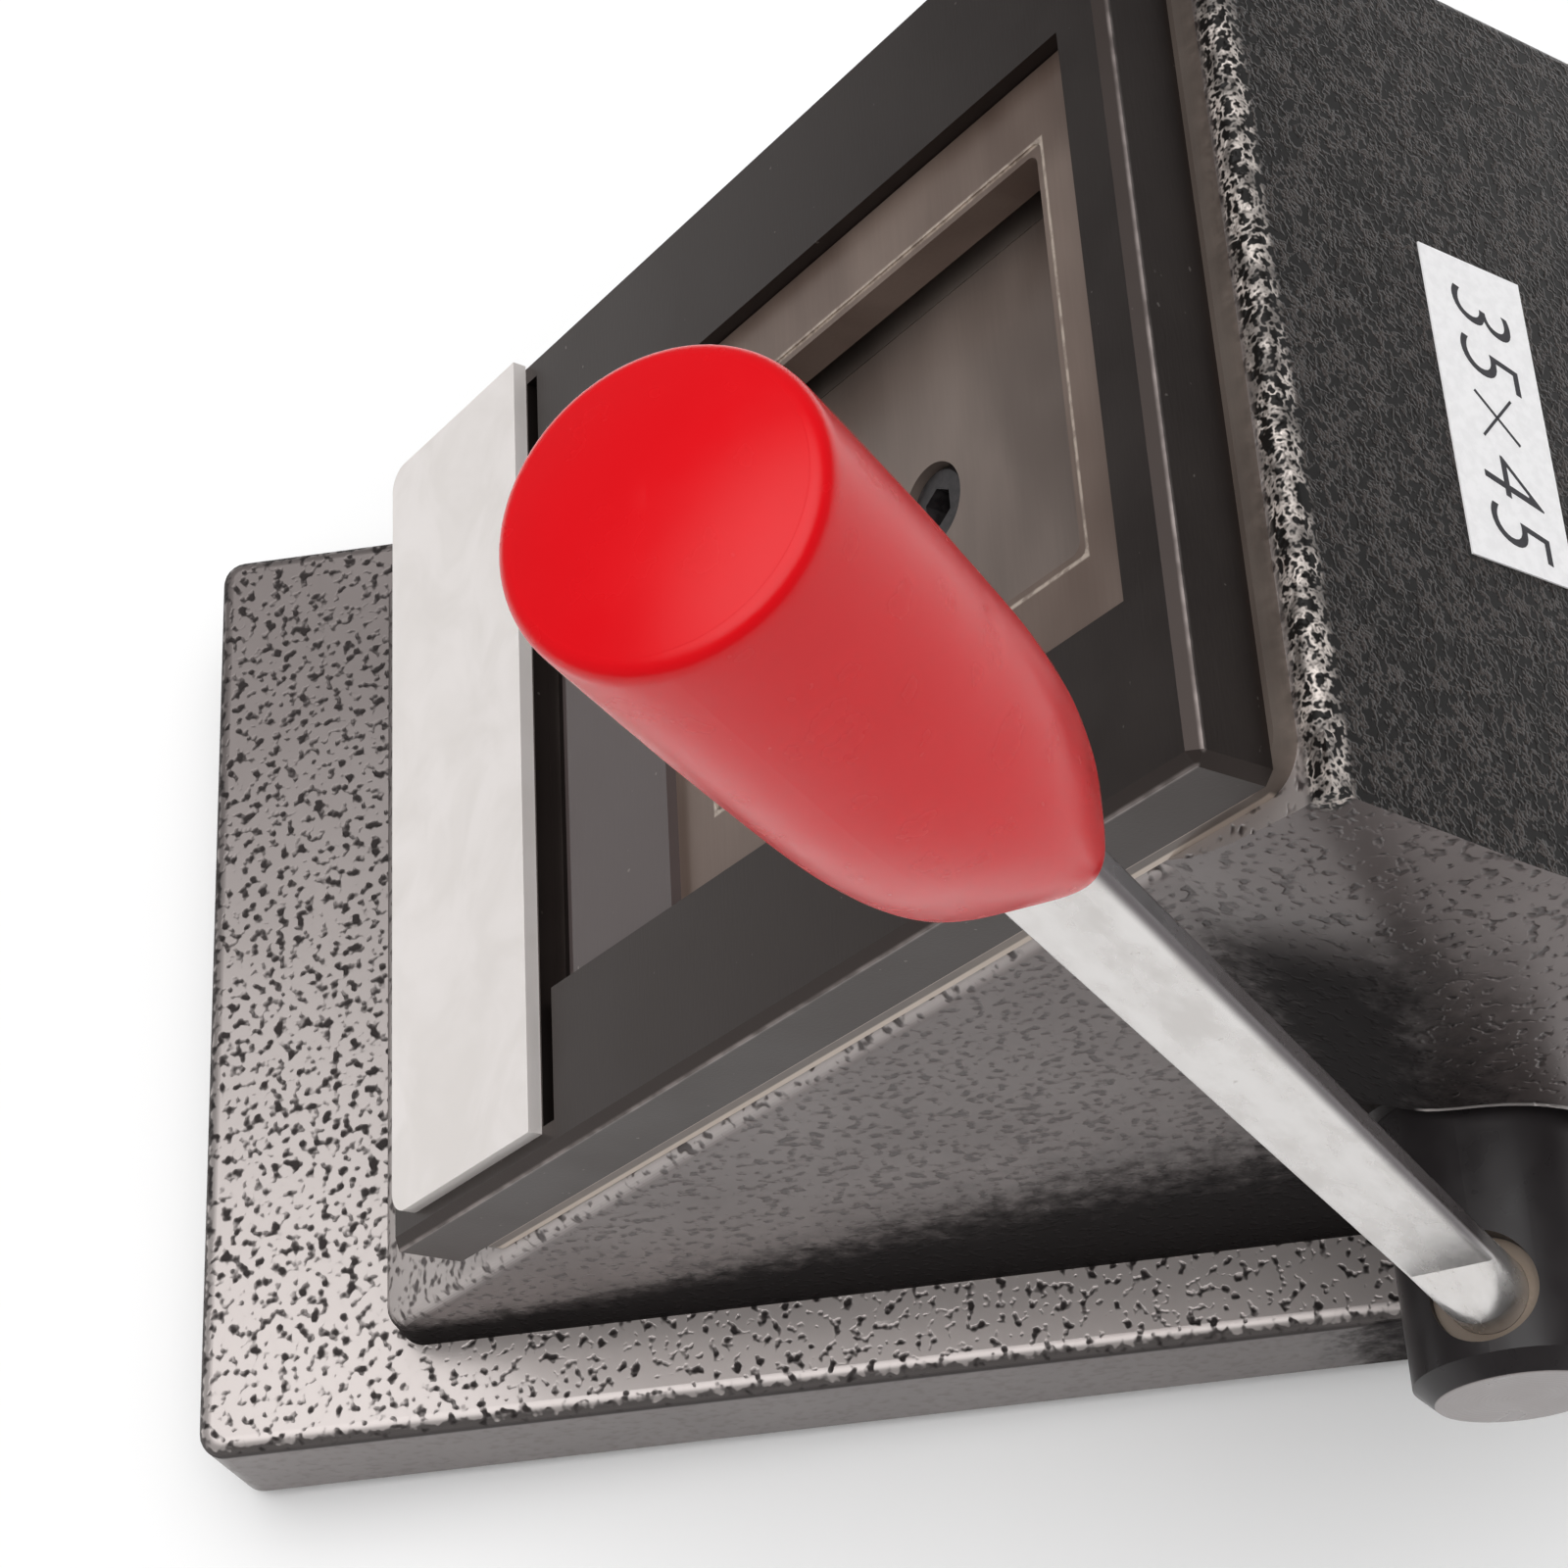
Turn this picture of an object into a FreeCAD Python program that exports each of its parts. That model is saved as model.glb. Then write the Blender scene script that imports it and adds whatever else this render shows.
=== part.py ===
import FreeCAD, Part
import math
import os
import re
import Sketcher
from FreeCAD import Placement, Rotation, Vector

# Bench cutter that punches a 35 x 45 mm piece out of a card or photo sheet.
# Millimetres. X runs to the lever side, Y to the back, Z up; the desk is Z = 0.
# The origin is under the middle of the whole cutter, lever and grip included.
# The die head leans 45 degrees. In its own frame, x is across the head, y climbs the slope and
# z stands out of it, and its origin is the middle of the aperture on the top face of the head.

doc = FreeCAD.newDocument("card_cutter")

# ---------------------------------------------------------------- driving dimensions
SIZES = {
    # base plate and feet
    "plate_half_width": 48.0,
    "plate_front": -98.0,
    "plate_rear": 98.0,
    "plate_bottom": 2.5,
    "plate_top": 16.3,
    "plate_corner_radius": 2.4,
    "plate_edge_radius": 1.5,
    "foot_x": 38.0,
    "foot_y": 86.0,
    "foot_radius": 7.5,
    "foot_sunk": 2.0,
    # housing
    "housing_foot_half_width": 40.0,
    "lip_above_plate": 5.05,
    "housing_rear": 59.5,
    "housing_ridge_height": 110.7,
    "housing_wall": 5.0,
    "housing_inner_half_width": 34.6,
    "corner_radius": 2.4,
    "front_lip_radius": 1.8,
    "crest_radius": 1.2,
    "head_lean": 45.0,
    "head_origin_y": -21.0,
    "head_origin_z": 91.95,
    "ridge_slope": 35.8,
    "seat_wall": 7.0,
    "boss_face": 45.3,
    "boss_crest_at_ridge": 40.3,
    "boss_crest_front": 22.0,
    "boss_crest_rear": 28.0,
    "boss_foot_front": 7.0,
    "boss_foot_rear": 43.0,
    "boss_rake": 0.12,
    "boss_shoulder": 8.0,
    # die head, heights measured from its top face
    "head_half_width": 39.0,
    "head_front": -73.2,
    "head_rear": 32.8,
    "head_thick": 7.06,
    "head_chamfer": 0.9,
    "rear_bar_front": 27.8,
    "window_half_width": 24.7,
    "window_front": -46.2,
    "groove_front": -47.9,
    "groove_half_width": 36.4,
    "groove_deep": 1.5,
    "flange_half_width": 28.5,
    "flange_top": -3.3,
    "flange_bottom": -4.7,
    "slot_half_width": 27.3,
    "slide_clearance": 0.1,
    "seat_plate_thick": 2.2,
    "seat_plate_inset": 0.4,
    "seat_plate_shift": 0.5,
    "seat_plate_corner": 3.5,
    "die_top": -1.37,
    "die_front": -28.6,
    "aperture_width": 35.0,
    "aperture_length": 45.0,
    "aperture_corner": 1.0,
    "land_wide": 0.75,
    "land_deep": 0.15,
    "panel_top": -0.4,
    "panel_step_slope": -43.3,
    "panel_step_top": -1.9,
    "strip_left": -38.5,
    "strip_right": 37.0,
    "strip_front": -70.6,
    "strip_rear": -48.1,
    "strip_thick": 1.3,
    "strip_corner": 2.2,
    "label_length": 27.7,
    "label_wide": 11.0,
    "label_thick": 0.15,
    "label_x": 3.0,
    "label_z": -33.0,
    # drive
    "shaft_depth": 59.0,
    "shaft_radius": 8.35,
    "shaft_right": 65.7,
    "shaft_left": -41.2,
    "shaft_chamfer": 1.6,
    "running_clearance": 0.05,
    "bush_radius": 10.0,
    "bush_inner_end": 29.0,
    "bush_recess": 2.6,
    "passage_clearance": 0.3,
    "left_bush_face": -38.4,
    "lever_x": 58.8,
    "lever_lean": 16.4,
    "lever_root_radius": 3.3,
    "lever_half_wide": 3.45,
    "lever_half_thick": 1.05,
    "lever_edge_round": 0.5,
    "lever_round_end": 9.5,
    "lever_flat_start": 17.0,
    "lever_top": 130.0,
    "lever_mouth_radius": 4.4,
    "lever_mouth_deep": 2.2,
    "grip_bottom": 101.0,
    "grip_radius": 8.5,
    "grip_shoulder": 40.9,
    "grip_dome_radius": 29.65,
    "grip_dome_foot": 7.48,
    "grip_end_round": 0.4,
    "cam_half_wide": 4.75,
    "cam_base_radius": 12.0,
    "cam_roller_gap": 0.3,
    "key_half_wide": 2.5,
    "key_half_deep": 2.5,
    "key_turn": 62.0,
    "stroke": 6.0,
    "swing": 75.0,
    "roller_radius": 5.0,
    "pin_radius": 2.5,
    "pin_half_long": 25.0,
    "ram_radius": 12.5,
    "ram_top": -16.1,
    "fork_half_wide": 5.2,
    "fork_below_pin": 4.0,
    "fork_above_pin": 5.8,
    "crosshead_half_width": 26.0,
    "crosshead_half_length": 17.0,
    "crosshead_thick": 8.0,
    "guide_half_width": 28.0,
    "guide_half_length": 20.0,
    "guide_thick": 14.0,
    "punch_clearance": 0.05,
    "punch_rest_top": -7.1,
    "spring_x": 20.2,
    "spring_radius": 4.8,
    "spring_wire": 0.7,
    "spring_turns": 5.0,
    "spring_pocket_radius": 6.2,
    "spring_pocket_deep": 9.0,
    # fixings
    "ring_thick": 1.0,
    "ring_groove_deep": 0.7,
    "ring_radius": 9.7,
    "thread_clearance": 0.02,
    "cover_half_width": 41.0,
    "cover_clear_of_feet": 1.4,
    "cover_rear": 61.0,
    "cover_thick": 2.0,
    "small_thread_radius": 1.5,
    "medium_thread_radius": 2.0,
    "large_thread_radius": 2.5,
    "small_clear_radius": 1.7,
    "medium_clear_radius": 2.2,
    "large_clear_radius": 2.7,
    "cover_head_radius": 3.1,
    "cover_head_deep": 1.3,
    "foot_head_radius": 3.7,
    "foot_head_deep": 2.8,
    "bar_well_radius": 3.1,
    "guide_head_radius": 4.5,
    "guide_head_deep": 5.4,
    "punch_head_radius": 3.6,
    "punch_head_deep": 4.4,
    "frame_tap_deep": 5.2,
    "bar_tap_deep": 4.5,
    "guide_tap_deep": 6.0,
    "cover_screw_x": 37.8,
    "cover_screw_front": -72.0,
    "cover_screw_rear": 50.0,
    "frame_screw_x": 31.1,
    "frame_screw_front": -60.0,
    "frame_screw_rear": 24.0,
    "bar_screw_x": 20.0,
    "bar_screw_slope": 29.6,
    "guide_screw_x": 22.0,
    "guide_screw_y": 15.0,
}

sheet = doc.addObject("Spreadsheet::Sheet", "dims")
for row, (alias, value) in enumerate(SIZES.items(), start=1):
    sheet.set(f"A{row}", alias)
    sheet.set(f"B{row}", str(value))
    sheet.setAlias(f"B{row}", alias)
doc.recompute()


def size(alias):
    """Reads one driving dimension back from the sheet."""
    return float(sheet.get(alias))


def bind(text):
    """Turns the dimension names in a formula into references to the sheet."""
    return re.sub(
        r"[a-z_]+",
        lambda found: "dims." + found.group(0) if found.group(0) in SIZES else found.group(0),
        str(text),
    )


# ---------------------------------------------------------------- frames
# The lever stands out on one side only, so the base sits this far to the other side of the origin.
CENTRE_X = -0.5 * (size("lever_x") + size("grip_radius") - size("plate_half_width"))
BASE_FRAME = Placement(Vector(CENTRE_X, 0, 0), Rotation())
LEAN = Rotation(Vector(1, 0, 0), size("head_lean"))
HEAD_FRAME = Placement(Vector(CENTRE_X, size("head_origin_y"), size("head_origin_z")), LEAN)
SHAFT_POINT = HEAD_FRAME.multVec(Vector(0, 0, -size("shaft_depth")))
CAM_FRAME = Placement(SHAFT_POINT, LEAN)
LEVER_LEAN = Rotation(Vector(1, 0, 0), size("lever_lean"))
SHAFT_FRAME = Placement(SHAFT_POINT, LEVER_LEAN)
LEVER_FRAME = Placement(SHAFT_POINT + Vector(size("lever_x"), 0, 0), LEVER_LEAN)
PIN_DEPTH = "(shaft_depth - cam_base_radius - cam_roller_gap - roller_radius)"
SEAT_DEPTH = -(size("head_thick") + size("seat_plate_thick"))
WALL_LOW = SEAT_DEPTH - size("seat_wall")
SEAT_HALF_WIDTH = "(head_half_width - seat_plate_inset)"
COVER_FRONT = "(foot_radius + cover_clear_of_feet - foot_y)"
# The front wall stands where the sloping seat has come down to the lip.
LIP_HEIGHT = size("plate_top") + size("lip_above_plate")
HOUSING_FRONT = size("head_origin_y") + LIP_HEIGHT - size("head_origin_z") - SEAT_DEPTH * math.sqrt(2)

# ---------------------------------------------------------------- holes and where they are
SMALL_TAP = "(small_thread_radius + thread_clearance)"
MEDIUM_TAP = "(medium_thread_radius + thread_clearance)"
LARGE_TAP = "(large_thread_radius + thread_clearance)"
APERTURE = ("-aperture_width / 2", "aperture_width / 2", "-aperture_length / 2", "aperture_length / 2")


def corners_at(x, *along):
    """Pairs of places at both sides, one pair for each distance along."""
    return [(side * size(x), step) for side in (-1, 1) for step in along]


FRAME_SCREWS = corners_at("frame_screw_x", size("frame_screw_front"), size("frame_screw_rear"))
BAR_SCREWS = corners_at("bar_screw_x", size("bar_screw_slope"))
GUIDE_SCREWS = corners_at("guide_screw_x", -size("guide_screw_y"), size("guide_screw_y"))
COVER_SCREWS = corners_at("cover_screw_x", size("cover_screw_front"), size("cover_screw_rear"))
FEET = corners_at("foot_x", -size("foot_y"), size("foot_y"))

finished = []


# ---------------------------------------------------------------- building steps
def new_body(label, frame):
    body = doc.addObject("PartDesign::Body", label)
    body.Label = label
    body.Placement = frame
    finished.append(body)
    return body


def origin_plane(body, role):
    return [plane for plane in body.Origin.OriginFeatures if plane.Role == role][0]


def new_sketch(body, name, plane, lift):
    sketch = body.newObject("Sketcher::SketchObject", f"{body.Label}_{name}_sketch")
    sketch.AttachmentSupport = [(origin_plane(body, plane), "")]
    sketch.MapMode = "FlatFace"
    sketch.setExpression("AttachmentOffset.Base.z", bind(lift))
    return sketch


def tie_point(sketch, edge, end, across, along):
    """Fixes one point of a sketch by two formulas measured from the sketch origin."""
    for kind, formula in (("DistanceX", across), ("DistanceY", along)):
        number = sketch.addConstraint(Sketcher.Constraint(kind, -1, 1, edge, end, 1.0))
        sketch.setExpression(f"Constraints[{number}]", bind(formula))


def outline(sketch, corners):
    """Draws a closed outline of straight edges through the corners."""
    first = sketch.GeometryCount
    count = len(corners)
    for n in range(count):
        turn = 2 * math.pi / count
        start = Vector(math.cos(n * turn), math.sin(n * turn), 0)
        stop = Vector(math.cos((n + 1) * turn), math.sin((n + 1) * turn), 0)
        sketch.addGeometry(Part.LineSegment(start, stop), False)
    for n in range(count):
        joined = Sketcher.Constraint("Coincident", first + n, 2, first + (n + 1) % count, 1)
        sketch.addConstraint(joined)
    for n, (across, along) in enumerate(corners):
        tie_point(sketch, first + n, 1, across, along)


def box_corners(left, right, low, high):
    return [(left, low), (right, low), (right, high), (left, high)]


def circles(sketch, centres, radius):
    for across, along in centres:
        edge = sketch.addGeometry(Part.Circle(Vector(0, 0, 0), Vector(0, 0, 1), 1.0), False)
        tie_point(sketch, edge, 3, across, along)
        number = sketch.addConstraint(Sketcher.Constraint("Radius", edge, 1.0))
        sketch.setExpression(f"Constraints[{number}]", bind(radius))


def raise_pad(body, sketch, name, length):
    pad = body.newObject("PartDesign::Pad", f"{body.Label}_{name}")
    pad.Profile = sketch
    pad.setExpression("Length", bind(length))
    return pad


def cut_pocket(body, sketch, name, length):
    pocket = body.newObject("PartDesign::Pocket", f"{body.Label}_{name}")
    pocket.Profile = sketch
    pocket.setExpression("Length", bind(length))
    return pocket


def slab(body, name, box, low, high):
    """Adds a rectangular block between two heights."""
    sketch = new_sketch(body, name, "XY_Plane", low)
    outline(sketch, box_corners(*box))
    return raise_pad(body, sketch, name, f"({high}) - ({low})")


def disc(body, name, centres, radius, low, high):
    """Adds round studs between two heights."""
    sketch = new_sketch(body, name, "XY_Plane", low)
    circles(sketch, centres, radius)
    return raise_pad(body, sketch, name, f"({high}) - ({low})")


def well(body, name, box, low, high):
    """Removes a rectangular block between two heights."""
    sketch = new_sketch(body, name, "XY_Plane", high)
    outline(sketch, box_corners(*box))
    return cut_pocket(body, sketch, name, f"({high}) - ({low})")


def bore(body, name, centres, radius, low, high):
    """Removes round holes between two heights."""
    sketch = new_sketch(body, name, "XY_Plane", high)
    circles(sketch, centres, radius)
    return cut_pocket(body, sketch, name, f"({high}) - ({low})")


def cross_bore(body, name, centres, radius, half_length):
    """Removes round holes that run along x."""
    sketch = new_sketch(body, name, "YZ_Plane", half_length)
    circles(sketch, centres, radius)
    return cut_pocket(body, sketch, name, f"2 * ({half_length})")


def turned(body, name, corners, axis):
    """Turns a profile about x (H_Axis) or z (V_Axis)."""
    sketch = new_sketch(body, name, "XZ_Plane", "0")
    outline(sketch, corners)
    turn = body.newObject("PartDesign::Revolution", f"{body.Label}_{name}")
    turn.Profile = sketch
    turn.ReferenceAxis = (sketch, [axis])
    turn.Angle = 360.0
    return turn


def matching_edges(shape, test):
    return [f"Edge{n}" for n, edge in enumerate(shape.Edges, start=1) if test(edge)]


def dress(body, kind, name, measure, test):
    """Rounds or bevels the edges of a body that pass the test."""
    doc.recompute()
    before = body.Tip
    names = matching_edges(before.Shape, test)
    feature = body.newObject(f"PartDesign::{kind}", f"{body.Label}_{name}")
    feature.Base = (before, names)
    feature.setExpression("Radius" if kind == "Fillet" else "Size", bind(measure))
    return feature


def is_upright(edge, reach=200.0):
    """True for a straight edge along z whose ends are both within reach of the origin in x and y."""
    if edge.Curve.TypeId != "Part::GeomLine" or len(edge.Vertexes) < 2:
        return False
    step = edge.Vertexes[1].Point - edge.Vertexes[0].Point
    flat = math.hypot(step.x, step.y)
    near = max(abs(edge.CenterOfMass.x), abs(edge.CenterOfMass.y)) < reach
    return near and flat < 1e-6


def is_level_at(edge, height):
    return all(abs(corner.Z - height) < 1e-6 for corner in edge.Vertexes)


# ---------------------------------------------------------------- casting
def tilted_block(name, rear_slope, top_depth):
    """Everything under the seat plane and in front of the rear slope, as one leaning box."""
    reach = 260.0
    block = doc.addObject("Part::Box", name)
    block.Length = reach
    block.Width = reach
    block.Height = reach
    corner = Vector(-reach / 2, rear_slope - reach, top_depth - reach)
    block.Placement = HEAD_FRAME.multiply(Placement(corner, Rotation()))
    return block


def boss_outline(height, crest):
    """Plan outline of the boss at one height; it leans forward as it climbs."""
    forward = (height - SHAFT_POINT.z) * size("boss_rake")
    wall = size("housing_foot_half_width")
    swell = crest - wall
    shape = [
        (wall - 4.0, size("boss_foot_front") - 5.0),
        (wall - 0.6, size("boss_foot_front")),
        (wall + 0.35 * swell, size("boss_foot_front") + 5.5),
        (wall + 0.85 * swell, size("boss_crest_front") - 5.0),
        (crest, size("boss_crest_front")),
        (crest, size("boss_crest_rear")),
        (wall + 0.85 * swell, size("boss_crest_rear") + 5.0),
        (wall + 0.35 * swell, size("boss_foot_rear") - 5.5),
        (wall - 0.6, size("boss_foot_rear")),
        (wall - 4.0, size("boss_foot_rear") + 5.0),
    ]
    points = [Vector(CENTRE_X + x, y - forward, height) for x, y in shape]
    curve = Part.BSplineCurve()
    curve.interpolate(points)
    return Part.Wire([curve.toShape(), Part.makeLine(points[-1], points[0])])


def make_boss():
    """Swelling of the lever-side wall that carries the shaft bush, fading out below the ridge."""
    crest = size("boss_face")
    top = size("boss_crest_at_ridge")
    low = size("plate_top") - 1.0
    shoulder = SHAFT_POINT.z + size("boss_shoulder")
    high = size("housing_ridge_height") + 3.0
    middle = 0.5 * (shoulder + high)
    stages = [
        (low, crest + 0.4),
        (0.5 * (low + shoulder), crest + 0.3),
        (shoulder, crest),
        (middle, 0.55 * crest + 0.45 * top),
        (high, top),
    ]
    boss = doc.addObject("Part::Feature", "boss")
    boss.Shape = Part.makeLoft([boss_outline(height, reach) for height, reach in stages], True, False)
    return boss


def make_housing_core():
    """Hollow upright housing, slightly narrower at the ridge than at its foot."""
    core = doc.addObject("Part::Wedge", "housing_taper")
    deep = size("housing_rear") - HOUSING_FRONT
    core.Zmin = 0.0
    core.Z2min = 0.0
    core.Zmax = deep
    core.Z2max = deep
    core.Ymin = 0.0
    core.setExpression("Ymax", bind("housing_ridge_height - plate_top + 4"))
    core.setExpression("Xmin", bind("-housing_foot_half_width"))
    core.setExpression("Xmax", bind("housing_foot_half_width"))
    core.setExpression("X2min", bind(f"-{SEAT_HALF_WIDTH}"))
    core.setExpression("X2max", bind(SEAT_HALF_WIDTH))
    upright = Rotation(Vector(1, 0, 0), 90)
    core.Placement = Placement(Vector(CENTRE_X, size("housing_rear"), size("plate_top") - 1.0), upright)
    slope = tilted_block("housing_slopes", size("ridge_slope"), SEAT_DEPTH)
    common = doc.addObject("Part::MultiCommon", "housing_core")
    common.Shapes = [core, slope]
    doc.recompute()
    return common, slope


def round_edges(name, base, test, radius):
    """Part fillet of the edges of a shape that pass the test."""
    fillet = doc.addObject("Part::Fillet", name)
    fillet.Base = base
    round_by = size(radius)
    chosen = [n for n, edge in enumerate(base.Shape.Edges, start=1) if test(edge)]
    fillet.Edges = [(n, round_by, round_by) for n in chosen]
    doc.recompute()
    return fillet


def rounded_housing():
    core, slope = make_housing_core()
    upright_lines = (HOUSING_FRONT, size("housing_rear"))

    def is_corner(edge):
        at_end = min(abs(edge.CenterOfMass.y - line) for line in upright_lines) < 0.1
        return at_end and edge.BoundBox.XLength < 2.0 and edge.BoundBox.ZLength > 4.0

    corners = round_edges("housing_corners", core, is_corner, "corner_radius")

    def is_lip(edge):
        level = abs(edge.CenterOfMass.z - LIP_HEIGHT) < 0.5
        long = edge.BoundBox.XLength > size("head_half_width")
        return level and long and edge.CenterOfMass.y < HOUSING_FRONT + 0.5

    lip = round_edges("housing_lip", corners, is_lip, "front_lip_radius")

    def is_crest(edge):
        box = edge.BoundBox
        foot = box.ZMax < size("plate_top")
        upright = box.ZLength > 4.0 and box.YLength < 1.0
        lip_area = box.ZMax < LIP_HEIGHT + size("housing_wall")
        return not (foot or upright or lip_area)

    return round_edges("housing_edges", lip, is_crest, "crest_radius"), slope


def rounded_plate():
    plate = doc.addObject("Part::Box", "base_plate")
    plate.setExpression("Length", bind("2 * plate_half_width"))
    plate.setExpression("Width", bind("plate_rear - plate_front"))
    plate.setExpression("Height", bind("plate_top - plate_bottom"))
    corner = Vector(-size("plate_half_width"), size("plate_front"), size("plate_bottom"))
    plate.Placement.Base = BASE_FRAME.multVec(corner)
    doc.recompute()

    def is_corner(edge):
        return edge.BoundBox.ZLength > size("plate_corner_radius")

    corners = round_edges("plate_corners", plate, is_corner, "plate_corner_radius")

    def is_top(edge):
        return edge.BoundBox.ZLength < 0.01 and edge.CenterOfMass.z > size("plate_top") - 0.1

    return round_edges("plate_edges", corners, is_top, "plate_edge_radius")


def cavity():
    inner = doc.addObject("Part::Box", "cavity_block")
    wall = size("housing_wall")
    inner.setExpression("Length", bind("2 * housing_inner_half_width"))
    inner.Width = size("housing_rear") - HOUSING_FRONT - 2 * wall - 1.5
    inner.setExpression("Height", bind("housing_ridge_height"))
    corner = Vector(-size("housing_inner_half_width"), HOUSING_FRONT + wall + 1.5, 0)
    inner.Placement.Base = BASE_FRAME.multVec(corner)
    slope = tilted_block("cavity_slopes", size("ridge_slope") - wall, WALL_LOW)
    common = doc.addObject("Part::MultiCommon", "cavity")
    common.Shapes = [inner, slope]
    return common


def round_tool(name, radius, length, frame):
    """Round cutter along the z axis of a frame."""
    tool = doc.addObject("Part::Cylinder", name)
    tool.setExpression("Radius", bind(radius))
    tool.Height = length
    tool.Placement = frame
    return tool


def head_tool(name, radius, x, slope, low, high):
    """Round cutter square to the die head, between two heights in the head frame."""
    frame = HEAD_FRAME.multiply(Placement(Vector(x, slope, low), Rotation()))
    return round_tool(name, radius, high - low, frame)


def base_tool(name, radius, x, y, high):
    """Round cutter that comes up from the desk."""
    return round_tool(name, radius, high, BASE_FRAME.multiply(Placement(Vector(x, y, 0), Rotation())))


def bush_bores():
    reach = size("boss_face") + 2
    sideways = Rotation(Vector(0, 1, 0), 90)
    frame = Placement(SHAFT_POINT - Vector(reach, 0, 0), sideways)
    return round_tool("bush_bores", "bush_radius", 2 * reach, frame)


def cover_recess():
    cover = doc.addObject("Part::Box", "cover_recess")
    gap = size("slide_clearance")
    cover.setExpression("Length", bind("2 * (cover_half_width + slide_clearance)"))
    cover.setExpression("Width", bind(f"cover_rear - {COVER_FRONT} + 2 * slide_clearance"))
    cover.setExpression("Height", bind("cover_thick + plate_bottom"))
    front = size("foot_radius") + size("cover_clear_of_feet") - size("foot_y")
    cover.Placement.Base = BASE_FRAME.multVec(Vector(-size("cover_half_width") - gap, front - gap, 0))
    return cover


def punch_passage():
    """Opening in the sloping wall that the punch comes up through."""
    passage = doc.addObject("Part::Box", "punch_passage")
    over = 3.0
    passage.setExpression("Length", bind("aperture_width + 2 * passage_clearance"))
    passage.setExpression("Width", bind("aperture_length + 2 * passage_clearance"))
    passage.Height = size("seat_wall") + 2 * over
    half_wide = size("aperture_width") / 2 + size("passage_clearance")
    half_long = size("aperture_length") / 2 + size("passage_clearance")
    corner = Vector(-half_wide, -half_long, WALL_LOW - over)
    passage.Placement = HEAD_FRAME.multiply(Placement(corner, Rotation()))
    return passage


def wall_holes():
    """Screw holes through the sloping wall; the cutters run on into air at both faces."""
    holes = []
    over = 2.0
    top = SEAT_DEPTH + over
    well_deep = 22.0
    for n, (x, slope) in enumerate(FRAME_SCREWS):
        holes.append(head_tool(f"frame_hole_{n}", "medium_clear_radius", x, slope, WALL_LOW - over, top))
    for n, (x, slope) in enumerate(BAR_SCREWS):
        holes.append(head_tool(f"bar_hole_{n}", "small_clear_radius", x, slope, WALL_LOW - over, top))
        low = WALL_LOW - well_deep
        holes.append(head_tool(f"bar_head_well_{n}", "bar_well_radius", x, slope, low, WALL_LOW))
    for n, (x, slope) in enumerate(GUIDE_SCREWS):
        high = WALL_LOW + size("guide_tap_deep")
        holes.append(head_tool(f"guide_tap_{n}", LARGE_TAP, x, slope, WALL_LOW - over, high))
    return holes


def plate_holes():
    """Foot seats and the tapped holes of the underside."""
    holes = []
    cover_tap_top = 11.0
    foot_tap_top = 13.0
    seat_top = size("plate_bottom") + size("foot_sunk")
    for n, (x, y) in enumerate(COVER_SCREWS):
        holes.append(base_tool(f"cover_tap_{n}", SMALL_TAP, x, y, cover_tap_top))
    for n, (x, y) in enumerate(FEET):
        holes.append(base_tool(f"foot_seat_{n}", "foot_radius + slide_clearance", x, y, seat_top))
        holes.append(base_tool(f"foot_tap_{n}", MEDIUM_TAP, x, y, foot_tap_top))
    return holes


def make_casting():
    housing, slope = rounded_housing()
    trimmed = doc.addObject("Part::MultiCommon", "trimmed_boss")
    trimmed.Shapes = [make_boss(), slope]
    solid = doc.addObject("Part::MultiFuse", "casting_blank")
    solid.Shapes = [rounded_plate(), housing, trimmed]
    hollow = doc.addObject("Part::MultiFuse", "casting_cores")
    hollow.Shapes = [cavity(), bush_bores(), cover_recess(), punch_passage(), *wall_holes(), *plate_holes()]
    cast = doc.addObject("Part::Cut", "cast_body")
    cast.Base = solid
    cast.Tool = hollow
    cast.Label = "cast_body"
    finished.append(cast)
    doc.recompute()


make_casting()


# ---------------------------------------------------------------- die head
def is_aperture_corner(edge):
    """True for the upright edges of the aperture and of the worn land round it."""
    return is_upright(edge, size("aperture_length") / 2 + size("land_wide") + 0.1)


def make_seat_plate():
    body = new_body("seat_plate", HEAD_FRAME)
    low = "-(head_thick + seat_plate_thick)"
    top = "-head_thick"
    front = "head_front + seat_plate_shift"
    rear = "head_rear + seat_plate_shift"
    slab(body, "blank", (f"-{SEAT_HALF_WIDTH}", SEAT_HALF_WIDTH, front, rear), low, top)
    dress(body, "Fillet", "corners", "seat_plate_corner", is_upright)
    well(body, "punch_hole", APERTURE, low, top)
    dress(body, "Fillet", "hole_corners", "aperture_corner", is_aperture_corner)
    bore(body, "frame_holes", FRAME_SCREWS, "medium_clear_radius", low, top)
    bore(body, "bar_holes", BAR_SCREWS, "small_clear_radius", low, top)


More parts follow.
